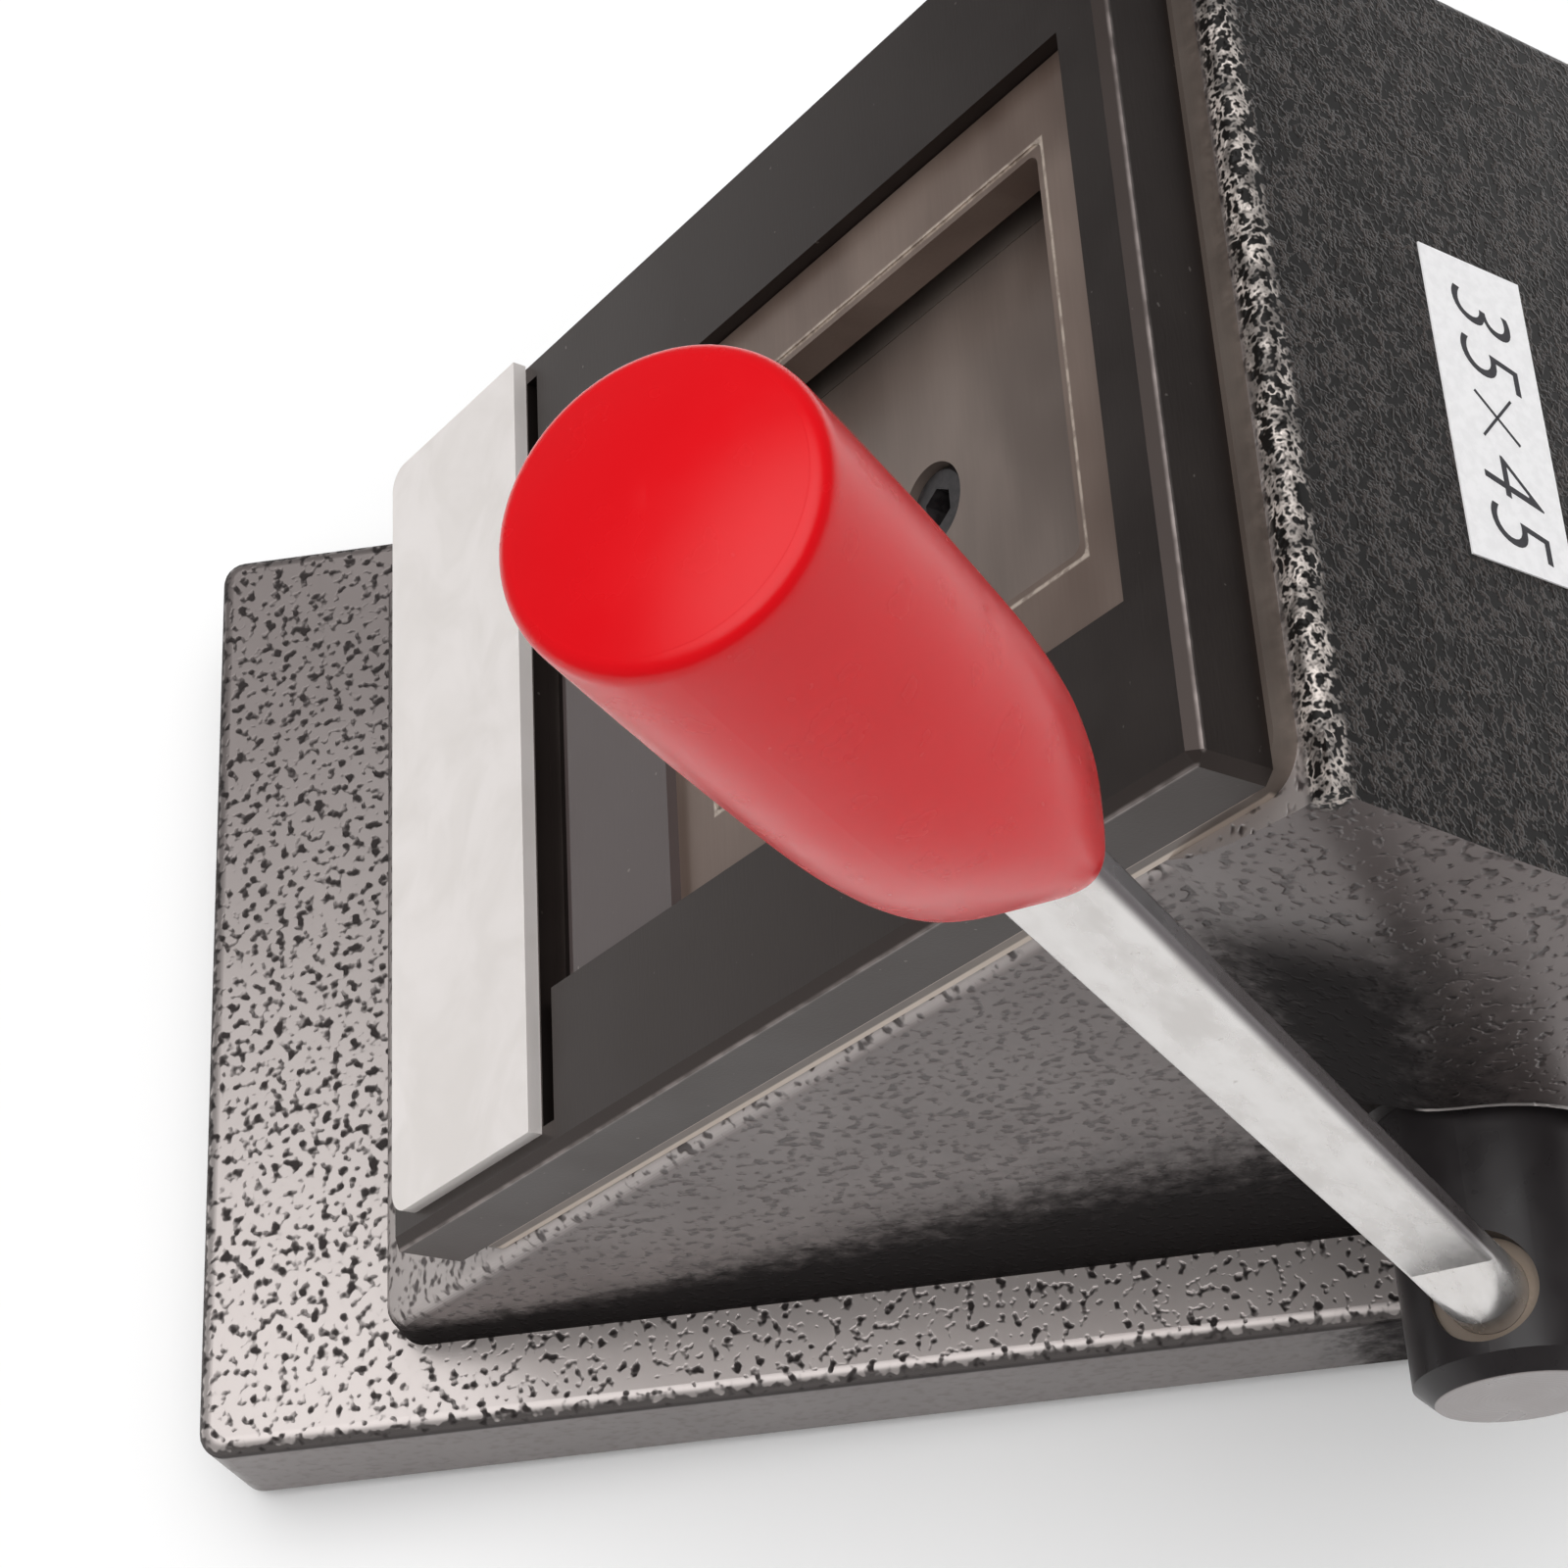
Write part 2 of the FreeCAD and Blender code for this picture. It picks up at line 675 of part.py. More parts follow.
def make_die_frame():
    body = new_body("die_frame", HEAD_FRAME)
    low = "-head_thick"
    slab(body, "blank", ("-head_half_width", "head_half_width", "head_front", "rear_bar_front"), low, "0")

    def is_top_outer(edge):
        if not is_level_at(edge, 0.0):
            return False
        return edge.CenterOfMass.y < size("rear_bar_front") - 1.0

    dress(body, "Chamfer", "bevel", "head_chamfer", is_top_outer)
    window = ("-window_half_width", "window_half_width", "window_front", "rear_bar_front")
    well(body, "window", window, "flange_bottom", "0")
    reach = "(flange_half_width + slide_clearance)"
    track = (f"-{reach}", reach, "window_front", "rear_bar_front")
    well(body, "flange_track", track, "flange_bottom", "flange_top + slide_clearance")
    slot = ("-slot_half_width", "slot_half_width", "head_front", "rear_bar_front")
    well(body, "sheet_slot", slot, low, "flange_bottom")
    groove = ("-groove_half_width", "groove_half_width", "groove_front", "window_front")
    well(body, "groove", groove, "-groove_deep", "0")
    bore(body, "frame_taps", FRAME_SCREWS, MEDIUM_TAP, low, "-head_thick + frame_tap_deep")


def make_rear_bar():
    body = new_body("rear_bar", HEAD_FRAME)
    low = "-head_thick"
    slab(body, "blank", ("-head_half_width", "head_half_width", "rear_bar_front", "head_rear"), low, "0")

    def is_outer(edge):
        rear = edge.CenterOfMass.y > size("rear_bar_front") + 1.0
        return rear and (is_level_at(edge, 0.0) or is_upright(edge))

    dress(body, "Chamfer", "bevel", "head_chamfer", is_outer)
    bore(body, "bar_taps", BAR_SCREWS, SMALL_TAP, low, "-head_thick + bar_tap_deep")


def flanged_plate(label, front, rear, top):
    """Plate that fills the window, with a thin flange that slides in the tracks of the side bars."""
    body = new_body(label, HEAD_FRAME)
    half = "(window_half_width - slide_clearance)"
    flange = ("-flange_half_width", "flange_half_width", front, rear)
    slab(body, "flange", flange, "flange_bottom", "flange_top")
    slab(body, "plate", (f"-{half}", half, front, rear), "flange_top", top)
    return body


def make_die_plate():
    body = flanged_plate("die_plate", "die_front", "rear_bar_front", "die_top")
    reach = "(aperture_width / 2 + land_wide)"
    climb = "(aperture_length / 2 + land_wide)"
    land = (f"-{reach}", reach, f"-{climb}", climb)
    well(body, "land", land, "die_top - land_deep", "die_top")
    well(body, "aperture", APERTURE, "flange_bottom", "die_top")
    dress(body, "Fillet", "aperture_corners", "aperture_corner", is_aperture_corner)


def make_front_panel():
    body = flanged_plate("front_panel", "window_front", "die_front", "panel_top")
    half = "(window_half_width - slide_clearance)"
    step = (f"-{half}", half, "window_front", "panel_step_slope")
    well(body, "step", step, "panel_step_top", "panel_top")


def make_front_strip():
    body = new_body("front_strip", HEAD_FRAME)
    slab(body, "blank", ("strip_left", "strip_right", "strip_front", "strip_rear"), "0", "strip_thick")

    def is_front(edge):
        return is_upright(edge) and edge.CenterOfMass.y < size("strip_front") + 1.0

    dress(body, "Fillet", "corners", "strip_corner", is_front)


def make_label():
    body = new_body("size_label", HEAD_FRAME)
    box = (
        "label_x - label_length / 2",
        "label_x + label_length / 2",
        "ridge_slope",
        "ridge_slope + label_thick",
    )
    slab(body, "sticker", box, "label_z - label_wide / 2", "label_z + label_wide / 2")


def make_guide_block():
    body = new_body("guide_block", HEAD_FRAME)
    top = "-(head_thick + seat_plate_thick + seat_wall)"
    low = f"({top} - guide_thick)"
    box = ("-guide_half_width", "guide_half_width", "-guide_half_length", "guide_half_length")
    slab(body, "blank", box, low, top)
    bore(body, "ram_bore", [("0", "0")], "ram_radius + running_clearance", low, top)
    springs = [("-spring_x", "0"), ("spring_x", "0")]
    bore(body, "spring_pockets", springs, "spring_pocket_radius", low, f"{low} + spring_pocket_deep")
    bore(body, "screw_holes", GUIDE_SCREWS, "large_clear_radius", low, top)
    bore(body, "screw_heads", GUIDE_SCREWS, "guide_head_radius", low, f"{low} + guide_head_deep")
    outside = size("guide_half_length") - 1.0
    dress(body, "Chamfer", "bevel", "1", lambda line: is_upright(line) and abs(line.CenterOfMass.y) > outside)


make_seat_plate()
make_die_frame()
make_rear_bar()
make_die_plate()
make_front_panel()
make_front_strip()
make_label()
make_guide_block()


# ---------------------------------------------------------------- moving pieces
def make_punch():
    body = new_body("punch", HEAD_FRAME)
    half = "(aperture_width / 2 - punch_clearance)"
    long = "(aperture_length / 2 - punch_clearance)"
    slab(body, "blank", (f"-{half}", half, f"-{long}", long), "ram_top", "punch_rest_top")
    dress(body, "Fillet", "corners", "aperture_corner", is_upright)
    bore(body, "screw_hole", [("0", "0")], "medium_clear_radius", "ram_top", "punch_rest_top")
    seat = "(punch_rest_top - punch_head_deep)"
    bore(body, "screw_head", [("0", "0")], "punch_head_radius", seat, "punch_rest_top")


def make_ram():
    body = new_body("ram", HEAD_FRAME)
    foot = f"(-{PIN_DEPTH} - fork_below_pin)"
    disc(body, "post", [("0", "0")], "ram_radius", foot, "ram_top")
    fork = ("-fork_half_wide", "fork_half_wide", "-2 * ram_radius", "2 * ram_radius")
    well(body, "fork", fork, f"{foot} - 1", f"-{PIN_DEPTH} + fork_above_pin")
    bore(body, "screw_tap", [("0", "0")], MEDIUM_TAP, "ram_top - 12", "ram_top")
    cross_bore(body, "pin_hole", [("0", f"-{PIN_DEPTH}")], "pin_radius + thread_clearance", "2 * ram_radius")


def make_crosshead():
    body = new_body("crosshead", HEAD_FRAME)
    low = f"(-{PIN_DEPTH} - crosshead_thick / 2)"
    top = f"(-{PIN_DEPTH} + crosshead_thick / 2)"
    box = (
        "-crosshead_half_width",
        "crosshead_half_width",
        "-crosshead_half_length",
        "crosshead_half_length",
    )
    slab(body, "blank", box, low, top)
    dress(body, "Chamfer", "bevel", "1.5", is_upright)
    bore(body, "ram_hole", [("0", "0")], "ram_radius + thread_clearance", low, top)
    centre = [("0", f"-{PIN_DEPTH}")]
    cross_bore(body, "pin_hole", centre, "pin_radius + thread_clearance", "2 * crosshead_half_width")


def x_ring(body, name, inner, outer, left, right):
    """Turned ring or rod about x, between two stations."""
    corners = [(left, inner), (right, inner), (right, outer), (left, outer)]
    return turned(body, name, corners, "H_Axis")


def make_roller_pin():
    frame = HEAD_FRAME.multiply(Placement(Vector(0, 0, -size_of_pin_depth()), Rotation()))
    body = new_body("roller_pin", frame)
    corners = [
        ("-pin_half_long", "0"),
        ("pin_half_long", "0"),
        ("pin_half_long", "pin_radius - 0.4"),
        ("pin_half_long - 0.4", "pin_radius"),
        ("-pin_half_long + 0.4", "pin_radius"),
        ("-pin_half_long", "pin_radius - 0.4"),
    ]
    turned(body, "rod", corners, "H_Axis")
    roller = new_body("roller", frame)
    half = "cam_half_wide"
    x_ring(roller, "ring", "pin_radius + running_clearance", "roller_radius", f"-{half}", half)


def size_of_pin_depth():
    radii = size("cam_base_radius") + size("cam_roller_gap") + size("roller_radius")
    return size("shaft_depth") - radii


def make_bush(label, frame_point, left, right):
    body = new_body(label, Placement(frame_point, Rotation()))
    x_ring(body, "sleeve", "shaft_radius + running_clearance", "bush_radius", left, right)


def make_shaft():
    body = new_body("drive_shaft", SHAFT_FRAME)
    corners = [
        ("shaft_left", "0"),
        ("shaft_right", "0"),
        ("shaft_right", "shaft_radius - shaft_chamfer"),
        ("shaft_right - shaft_chamfer", "shaft_radius"),
        ("shaft_left + 1", "shaft_radius"),
        ("shaft_left", "shaft_radius - 1"),
    ]
    turned(body, "rod", corners, "H_Axis")
    cut_groove(body, "left_groove", LEFT_RING)
    cut_groove(body, "right_groove", RIGHT_RING)
    sketch = new_sketch(body, "lever_hole", "XY_Plane", "2 * shaft_radius")
    circles(sketch, [("lever_x", "0")], "lever_root_radius + thread_clearance")
    cut_pocket(body, sketch, "lever_hole", "4 * shaft_radius")
    mouth = new_sketch(body, "lever_mouth", "XY_Plane", "2 * shaft_radius")
    circles(mouth, [("lever_x", "0")], "lever_mouth_radius")
    cut_pocket(body, mouth, "lever_mouth", "shaft_radius + lever_mouth_deep")


LEFT_RING = "(left_bush_face - ring_thick - 0.1)"
RIGHT_RING = "(bush_inner_end - ring_thick - 0.1)"


def cut_groove(body, name, start):
    """Ring groove turned into the shaft; start is its left side."""
    sketch = new_sketch(body, name, "XZ_Plane", "0")
    floor = "(shaft_radius - ring_groove_deep)"
    outline(sketch, box_corners(start, f"{start} + ring_thick", floor, "shaft_radius + 1"))
    groove = body.newObject("PartDesign::Groove", f"{body.Label}_{name}")
    groove.Profile = sketch
    groove.ReferenceAxis = (sketch, ["H_Axis"])
    groove.Angle = 360.0


def make_retaining_ring(label, start):
    body = new_body(label, SHAFT_FRAME)
    inner = "(shaft_radius - ring_groove_deep + thread_clearance)"
    x_ring(body, "ring", inner, "ring_radius", start, f"{start} + ring_thick")
    sketch = new_sketch(body, "gap", "YZ_Plane", "100")
    outline(sketch, box_corners("-3", "3", "-2 * ring_radius", "-2"))
    cut_pocket(body, sketch, "gap", "200")


def cam_pitch_radius(turn):
    """Distance from shaft to roller centre when the shaft has turned by this many radians."""
    rest = size("cam_base_radius") + size("cam_roller_gap") + size("roller_radius")
    rise = size("stroke") / math.radians(size("swing"))
    early = -math.radians(12)
    late = math.radians(size("swing") + 12)
    if turn <= late:
        return rest + rise * turn
    span = 2 * math.pi + early - late
    part = (turn - late) / span
    first = rest + rise * late
    last = rest + rise * early
    keep = 2 * part**3 - 3 * part**2 + 1
    lead = part**3 - 2 * part**2 + part
    tail = part**3 - part**2
    return first * keep + last * (1 - keep) + rise * span * (lead + tail)


def cam_profile():
    """Closed curve at the roller's radius inside the path of the roller centre."""
    offset = size("roller_radius") + size("cam_roller_gap")
    count = 180
    small = 1e-4
    points = []
    for n in range(count):
        turn = -math.radians(12) + 2 * math.pi * n / count
        radius = cam_pitch_radius(turn)
        slope = (cam_pitch_radius(turn + small) - radius) / small
        # a point that comes under the roller after this turn lies this far back round the cam
        back = -turn
        lean = math.atan2(slope, radius)
        outward = Vector(0, -math.sin(back + lean), math.cos(back + lean))
        centre = Vector(0, -math.sin(back), math.cos(back)) * radius
        points.append(centre - outward * offset)
    curve = Part.BSplineCurve()
    curve.interpolate(points, PeriodicFlag=True)
    return Part.Wire([curve.toShape()])


def key_corner(gap):
    """Near lower corner of the key, or of its seat when there is a gap round it."""
    return Vector(
        -size("cam_half_wide") - gap,
        -size("key_half_wide") - gap,
        size("shaft_radius") - size("key_half_deep") - gap,
    )


def key_seat_in_cam():
    gap = size("thread_clearance")
    wide = size("cam_half_wide") + gap
    half = size("key_half_wide") + gap
    deep = size("key_half_deep") + gap
    seat = Part.makeBox(2 * wide, 2 * half, 2 * deep, key_corner(gap))
    seat.rotate(Vector(0, 0, 0), Vector(1, 0, 0), -size("key_turn"))
    return seat


def make_cam_key():
    """Square key, half in the shaft and half in the thick side of the cam."""
    key = doc.addObject("Part::Box", "cam_key")
    key.Label = "cam_key"
    key.setExpression("Length", bind("2 * cam_half_wide"))
    key.setExpression("Width", bind("2 * key_half_wide"))
    key.setExpression("Height", bind("2 * key_half_deep"))
    turned_back = Placement(Vector(), Rotation(Vector(1, 0, 0), -size("key_turn")))
    corner = Placement(key_corner(0.0), Rotation())
    key.Placement = CAM_FRAME.multiply(turned_back).multiply(corner)
    finished.append(key)


def make_cam():
    wide = size("cam_half_wide")
    blank = Part.Face(cam_profile()).extrude(Vector(2 * wide, 0, 0))
    blank.translate(Vector(-wide, 0, 0))
    bore_radius = size("shaft_radius") + size("thread_clearance")
    hole = Part.makeCylinder(bore_radius, 4 * wide, Vector(-2 * wide, 0, 0), Vector(1, 0, 0))
    cam = doc.addObject("Part::Feature", "cam")
    cam.Label = "cam"
    cam.Shape = blank.cut(hole).cut(key_seat_in_cam())
    cam.Placement = CAM_FRAME
    finished.append(cam)


def cut_key_seat(shaft):
    """Key seat milled into the shaft at the same turn as the key."""
    turn = Rotation(Vector(1, 0, 0), size("head_lean") - size("lever_lean") - size("key_turn"))
    sketch = shaft.newObject("Sketcher::SketchObject", "drive_shaft_key_seat_sketch")
    sketch.AttachmentSupport = [(origin_plane(shaft, "XY_Plane"), "")]
    sketch.MapMode = "FlatFace"
    above = turn.multVec(Vector(0, 0, 2 * size("shaft_radius")))
    sketch.AttachmentOffset = Placement(above, turn)
    half = "(key_half_wide + thread_clearance)"
    wide = "(cam_half_wide + thread_clearance)"
    outline(sketch, box_corners(f"-{wide}", wide, f"-{half}", half))
    cut_pocket(shaft, sketch, "key_seat", "shaft_radius + key_half_deep + thread_clearance")


def rounded_section(half_x, half_y, corner, height):
    """Rounded rectangle, or a circle when the corner radius fills it, with eight edges."""
    corner = min(corner, half_x - 0.01, half_y - 0.01)
    edges = []
    bend = corner * math.sqrt(0.5)
    for turn, (sx, sy) in enumerate(((1, 1), (-1, 1), (-1, -1), (1, -1))):
        centre = Vector(sx * (half_x - corner), sy * (half_y - corner), height)
        flat_x = Vector(sx * half_x, centre.y, height)
        flat_y = Vector(centre.x, sy * half_y, height)
        middle = centre + Vector(sx * bend, sy * bend, 0)
        start, stop = (flat_x, flat_y) if turn % 2 == 0 else (flat_y, flat_x)
        edges.append(Part.Arc(start, middle, stop).toShape())
        nxt = ((1, 1), (-1, 1), (-1, -1), (1, -1))[(turn + 1) % 4]
        other = Vector(nxt[0] * (half_x - corner), nxt[1] * (half_y - corner), height)
        if turn % 2 == 0:
            goal = Vector(other.x, nxt[1] * half_y, height)
        else:
            goal = Vector(nxt[0] * half_x, other.y, height)
        edges.append(Part.makeLine(stop, goal))
    return Part.Wire(edges)


def make_lever():
    """Round where it enters the shaft, then drawn out to a flat bar up to the grip."""
    root = size("lever_root_radius")
    thick = size("lever_half_thick")
    wide = size("lever_half_wide")
    edge = size("lever_edge_round")
    start = -size("shaft_radius") + 0.6
    round_end = size("lever_round_end")
    flat = size("lever_flat_start")
    post = Part.makeCylinder(root, round_end - start, Vector(0, 0, start))
    neck = Part.makeLoft(
        [rounded_section(root, root, root, round_end), rounded_section(thick, wide, edge, flat)], True, True
    )
    bar_ends = [rounded_section(thick, wide, edge, height) for height in (flat, size("lever_top"))]
    bar = Part.makeLoft(bar_ends, True, True)
    lever = doc.addObject("Part::Feature", "lever_arm")
    lever.Label = "lever_arm"
    lever.Shape = post.multiFuse([neck, bar]).removeSplitter()
    lever.Placement = LEVER_FRAME
    finished.append(lever)


def oval_section(half_x, half_y, fullness, height):
    """Closed smooth outline; fullness 2 is an ellipse and more makes it squarer."""
    count = 32
    points = []
    for n in range(count):
        turn = 2 * math.pi * n / count
        across = math.cos(turn)
        along = math.sin(turn)
        reach = (abs(across) ** fullness + abs(along) ** fullness) ** (-1.0 / fullness)
        points.append(Vector(half_x * across * reach, half_y * along * reach, height))
    curve = Part.BSplineCurve()
    curve.interpolate(points, PeriodicFlag=True)
    return Part.Wire([curve.toShape()])


def grip_dome(shoulder):
    """Shallow round top that sits just inside the flat shoulder of the knob."""
    radius = size("grip_dome_radius")
    foot = size("grip_dome_foot")
    sunk = math.sqrt(radius**2 - foot**2)
    ball = Part.makeSphere(radius, Vector(0, 0, shoulder - sunk))
    above = Part.makeBox(2 * radius, 2 * radius, radius, Vector(-radius, -radius, shoulder))
    return ball.common(above)


def make_grip():
    """Moulded knob: a squarish oval where the lever goes in, then round, with a crisp rim and a low dome."""
    low = size("grip_bottom")
    big = size("grip_radius")
    shoulder = size("grip_shoulder")
    stations = [
        (0.0, 3.8, 4.9, 4.5),
        (3.0, 5.0, 6.1, 3.8),
        (6.0, 6.0, 6.85, 3.1),
        (9.0, 6.85, 7.5, 2.6),
        (12.0, 7.55, 7.95, 2.3),
        (15.5, 8.1, 8.3, 2.1),
        (20.0, 8.45, 8.45, 2.0),
        (25.0, big, big, 2.0),
        (30.0, big, big, 2.0),
        (35.0, 8.45, 8.45, 2.0),
        (38.5, 8.4, 8.4, 2.0),
        (shoulder - 0.9, 8.35, 8.35, 2.0),
        (shoulder - 0.45, 8.2, 8.2, 2.0),
        (shoulder - 0.15, 7.9, 7.9, 2.0),
        (shoulder, 7.5, 7.5, 2.0),
    ]
    sections = [oval_section(x, y, fullness, low + climb) for climb, x, y, fullness in stations]
    knob = Part.makeLoft(sections, True, False).fuse(grip_dome(low + shoulder))
    ends = [edge for edge in knob.Edges if is_level_at(edge, low)]
    knob = knob.makeFillet(size("grip_end_round"), ends)
    gap = size("thread_clearance")
    half_x = size("lever_half_thick") + gap
    half_y = size("lever_half_wide") + gap
    deep = size("lever_top") + gap - low + 1.0
    socket = Part.makeBox(2 * half_x, 2 * half_y, deep, Vector(-half_x, -half_y, low - 1.0))
    grip = doc.addObject("Part::Feature", "grip")
    grip.Label = "grip"
    grip.Shape = knob.cut(socket)
    grip.Placement = LEVER_FRAME
    finished.append(grip)


def make_spring(label, side):
    wire = size("spring_wire")
    low = -size_of_pin_depth() + size("crosshead_thick") / 2
    guide_low = SEAT_DEPTH - size("seat_wall") - size("guide_thick")
    high = guide_low + size("spring_pocket_deep")
    climb = high - low - 2 * wire
    helix = doc.addObject("Part::Helix", f"{label}_path")
    helix.setExpression("Radius", bind("spring_radius"))
    helix.Height = climb
    helix.Pitch = climb / size("spring_turns")
    ring = doc.addObject("Part::Circle", f"{label}_wire")
    ring.setExpression("Radius", bind("spring_wire"))
    ring.Placement = Placement(Vector(size("spring_radius"), 0, 0), Rotation(Vector(1, 0, 0), 90))
    coil = doc.addObject("Part::Sweep", label)
    coil.Sections = [ring]
    coil.Spine = (helix, ["Edge1"])
    coil.Solid = True
    coil.Frenet = True
    coil.Label = label
    place = Vector(side * size("spring_x"), 0, low + wire)
    coil.Placement = HEAD_FRAME.multiply(Placement(place, Rotation()))
    finished.append(coil)


make_punch()
make_ram()
make_crosshead()
make_roller_pin()
make_bush("bush_right", SHAFT_POINT, "bush_inner_end", "boss_face - bush_recess")
make_bush("bush_left", SHAFT_POINT, "left_bush_face", "-bush_inner_end")
make_shaft()
cut_key_seat(finished[-1])
make_retaining_ring("retaining_ring_left", LEFT_RING)
make_retaining_ring("retaining_ring_right", RIGHT_RING)
make_cam()
make_cam_key()
make_lever()
make_grip()
make_spring("return_spring_left", -1)
make_spring("return_spring_right", 1)


# ---------------------------------------------------------------- cover, feet and screws
def make_cover():
    body = new_body("bottom_cover", BASE_FRAME)
    low = "plate_bottom"
    top = "(plate_bottom + cover_thick)"
    slab(body, "sheet", ("-cover_half_width", "cover_half_width", COVER_FRONT, "cover_rear"), low, top)
    bore(body, "screw_holes", COVER_SCREWS, "small_clear_radius", low, top)
    bore(body, "screw_heads", COVER_SCREWS, "cover_head_radius", low, f"{low} + cover_head_deep")


def stand_at(x, y, height):
    """Upright frame at a place on the base."""
    return BASE_FRAME.multiply(Placement(Vector(x, y, height), Rotation()))


def make_foot(number, x, y):
    body = new_body(f"foot_{number}", stand_at(x, y, 0.0))
    top = "(plate_bottom + foot_sunk)"
    corners = [
        ("0", "0"),
        ("foot_radius - 1.4", "0"),
        ("foot_radius", "1.8"),
        ("foot_radius", top),
        ("0", top),
    ]
    turned(body, "pad", corners, "V_Axis")
    bore(body, "screw_hole", [("0", "0")], "medium_clear_radius", "0", top)
    bore(body, "screw_head", [("0", "0")], "foot_head_radius", "0", "foot_head_deep")


def make_screw(label, frame, radius, length, head_radius, head_high, key):
    """Socket-head screw: the head sits on z = 0 and the thread points up z."""
    body = new_body(label, frame)
    corners = [
        ("0", str(-head_high)),
        (str(head_radius - 0.3), str(-head_high)),
        (str(head_radius), str(-head_high + 0.3)),
        (str(head_radius), "0"),
        (str(radius), "0"),
        (str(radius), str(length - 0.5)),
        (str(radius - 0.5), str(length)),
        ("0", str(length)),
    ]
    turned(body, "turned", corners, "V_Axis")
    deep = 0.55 * head_high
    sketch = new_sketch(body, "socket", "XY_Plane", str(deep - head_high))
    hexagon = [(key * math.cos(math.radians(60 * n)), key * math.sin(math.radians(60 * n))) for n in range(6)]
    outline(sketch, [(f"{across:.4f}", f"{along:.4f}") for across, along in hexagon])
    cut_pocket(body, sketch, "socket", str(deep + 0.5))


def head_screw(label, x, slope, seat, size_values, upward=True):
    turn = Rotation() if upward else Rotation(Vector(1, 0, 0), 180)
    frame = HEAD_FRAME.multiply(Placement(Vector(x, slope, seat), turn))
    make_screw(label, frame, *size_values)


# thread radius, length under the head, head radius, head height, radius across the socket's corners
M3_CAP = (1.5, 11.0, 2.75, 2.6, 1.4)
M4_CAP = (2.0, 13.5, 3.4, 3.6, 1.7)
M5_CAP = (2.5, 14.0, 4.2, 4.6, 2.2)
M4_SHORT = (2.0, 11.0, 3.4, 3.8, 1.7)
M3_LOW = (1.5, 7.0, 2.9, 1.2, 1.1)
M4_LOW = (2.0, 9.0, 3.5, 2.2, 1.6)

make_cover()
for number, (x, y) in enumerate(FEET, start=1):
    make_foot(number, x, y)
    make_screw(f"foot_screw_{number}", stand_at(x, y, size("foot_head_deep")), *M4_LOW)
for number, (x, y) in enumerate(COVER_SCREWS, start=1):
    seat = size("plate_bottom") + size("cover_head_deep")
    make_screw(f"cover_screw_{number}", stand_at(x, y, seat), *M3_LOW)
for number, (x, slope) in enumerate(FRAME_SCREWS, start=1):
    head_screw(f"frame_screw_{number}", x, slope, WALL_LOW, M4_CAP)
for number, (x, slope) in enumerate(BAR_SCREWS, start=1):
    head_screw(f"bar_screw_{number}", x, slope, WALL_LOW, M3_CAP)
for number, (x, slope) in enumerate(GUIDE_SCREWS, start=1):
    seat = WALL_LOW - size("guide_thick") + size("guide_head_deep")
    head_screw(f"guide_screw_{number}", x, slope, seat, M5_CAP)
punch_seat = size("punch_rest_top") - size("punch_head_deep")
head_screw("punch_screw", 0.0, 0.0, punch_seat, M4_SHORT, upward=False)


# ---------------------------------------------------------------- check and export
doc.recompute()
for thing in doc.Objects:
    if "Invalid" in thing.State or "Error" in thing.State:
        raise SystemExit(f"{thing.Name} did not build: {thing.State}")

os.makedirs("parts", exist_ok=True)
for piece in finished:
    shape = piece.Shape
    if shape.isNull() or not shape.isValid():
        raise SystemExit(f"{piece.Label} has no valid shape")
    if len(shape.Solids) != 1:
        raise SystemExit(f"{piece.Label} is made of {len(shape.Solids)} solids")
    shape.exportStep(f"parts/{piece.Label}.step")
print(len(finished), "pieces written")
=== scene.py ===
# %% [markdown]
# # A bench cutter for small photo cards
# The cutter is a grey enamelled iron casting with a sloping steel head. A side lever with a red
# grip turns a shaft inside the casting, and a cam on that shaft pushes a punch up through the
# rectangular opening in the head. The solids come from the CAD model in metres, and this
# notebook gives every one of them its finish, adds the printed digits, and lights the scene.

import math

import bmesh
import bpy
from mathutils import Euler, Matrix, Vector


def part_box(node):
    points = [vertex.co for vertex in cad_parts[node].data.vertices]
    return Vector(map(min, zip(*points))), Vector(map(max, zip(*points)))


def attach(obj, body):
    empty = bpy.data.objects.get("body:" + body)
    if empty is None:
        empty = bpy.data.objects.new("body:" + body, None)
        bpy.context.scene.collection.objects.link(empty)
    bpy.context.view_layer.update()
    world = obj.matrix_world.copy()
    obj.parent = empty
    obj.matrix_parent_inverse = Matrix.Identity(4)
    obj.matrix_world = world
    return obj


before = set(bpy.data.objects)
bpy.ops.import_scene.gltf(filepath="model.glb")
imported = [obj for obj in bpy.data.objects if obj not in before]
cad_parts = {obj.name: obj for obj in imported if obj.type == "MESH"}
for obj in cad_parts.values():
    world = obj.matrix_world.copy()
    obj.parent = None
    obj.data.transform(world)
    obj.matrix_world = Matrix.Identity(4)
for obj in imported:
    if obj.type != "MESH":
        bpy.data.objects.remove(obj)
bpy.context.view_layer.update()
MM = 0.001
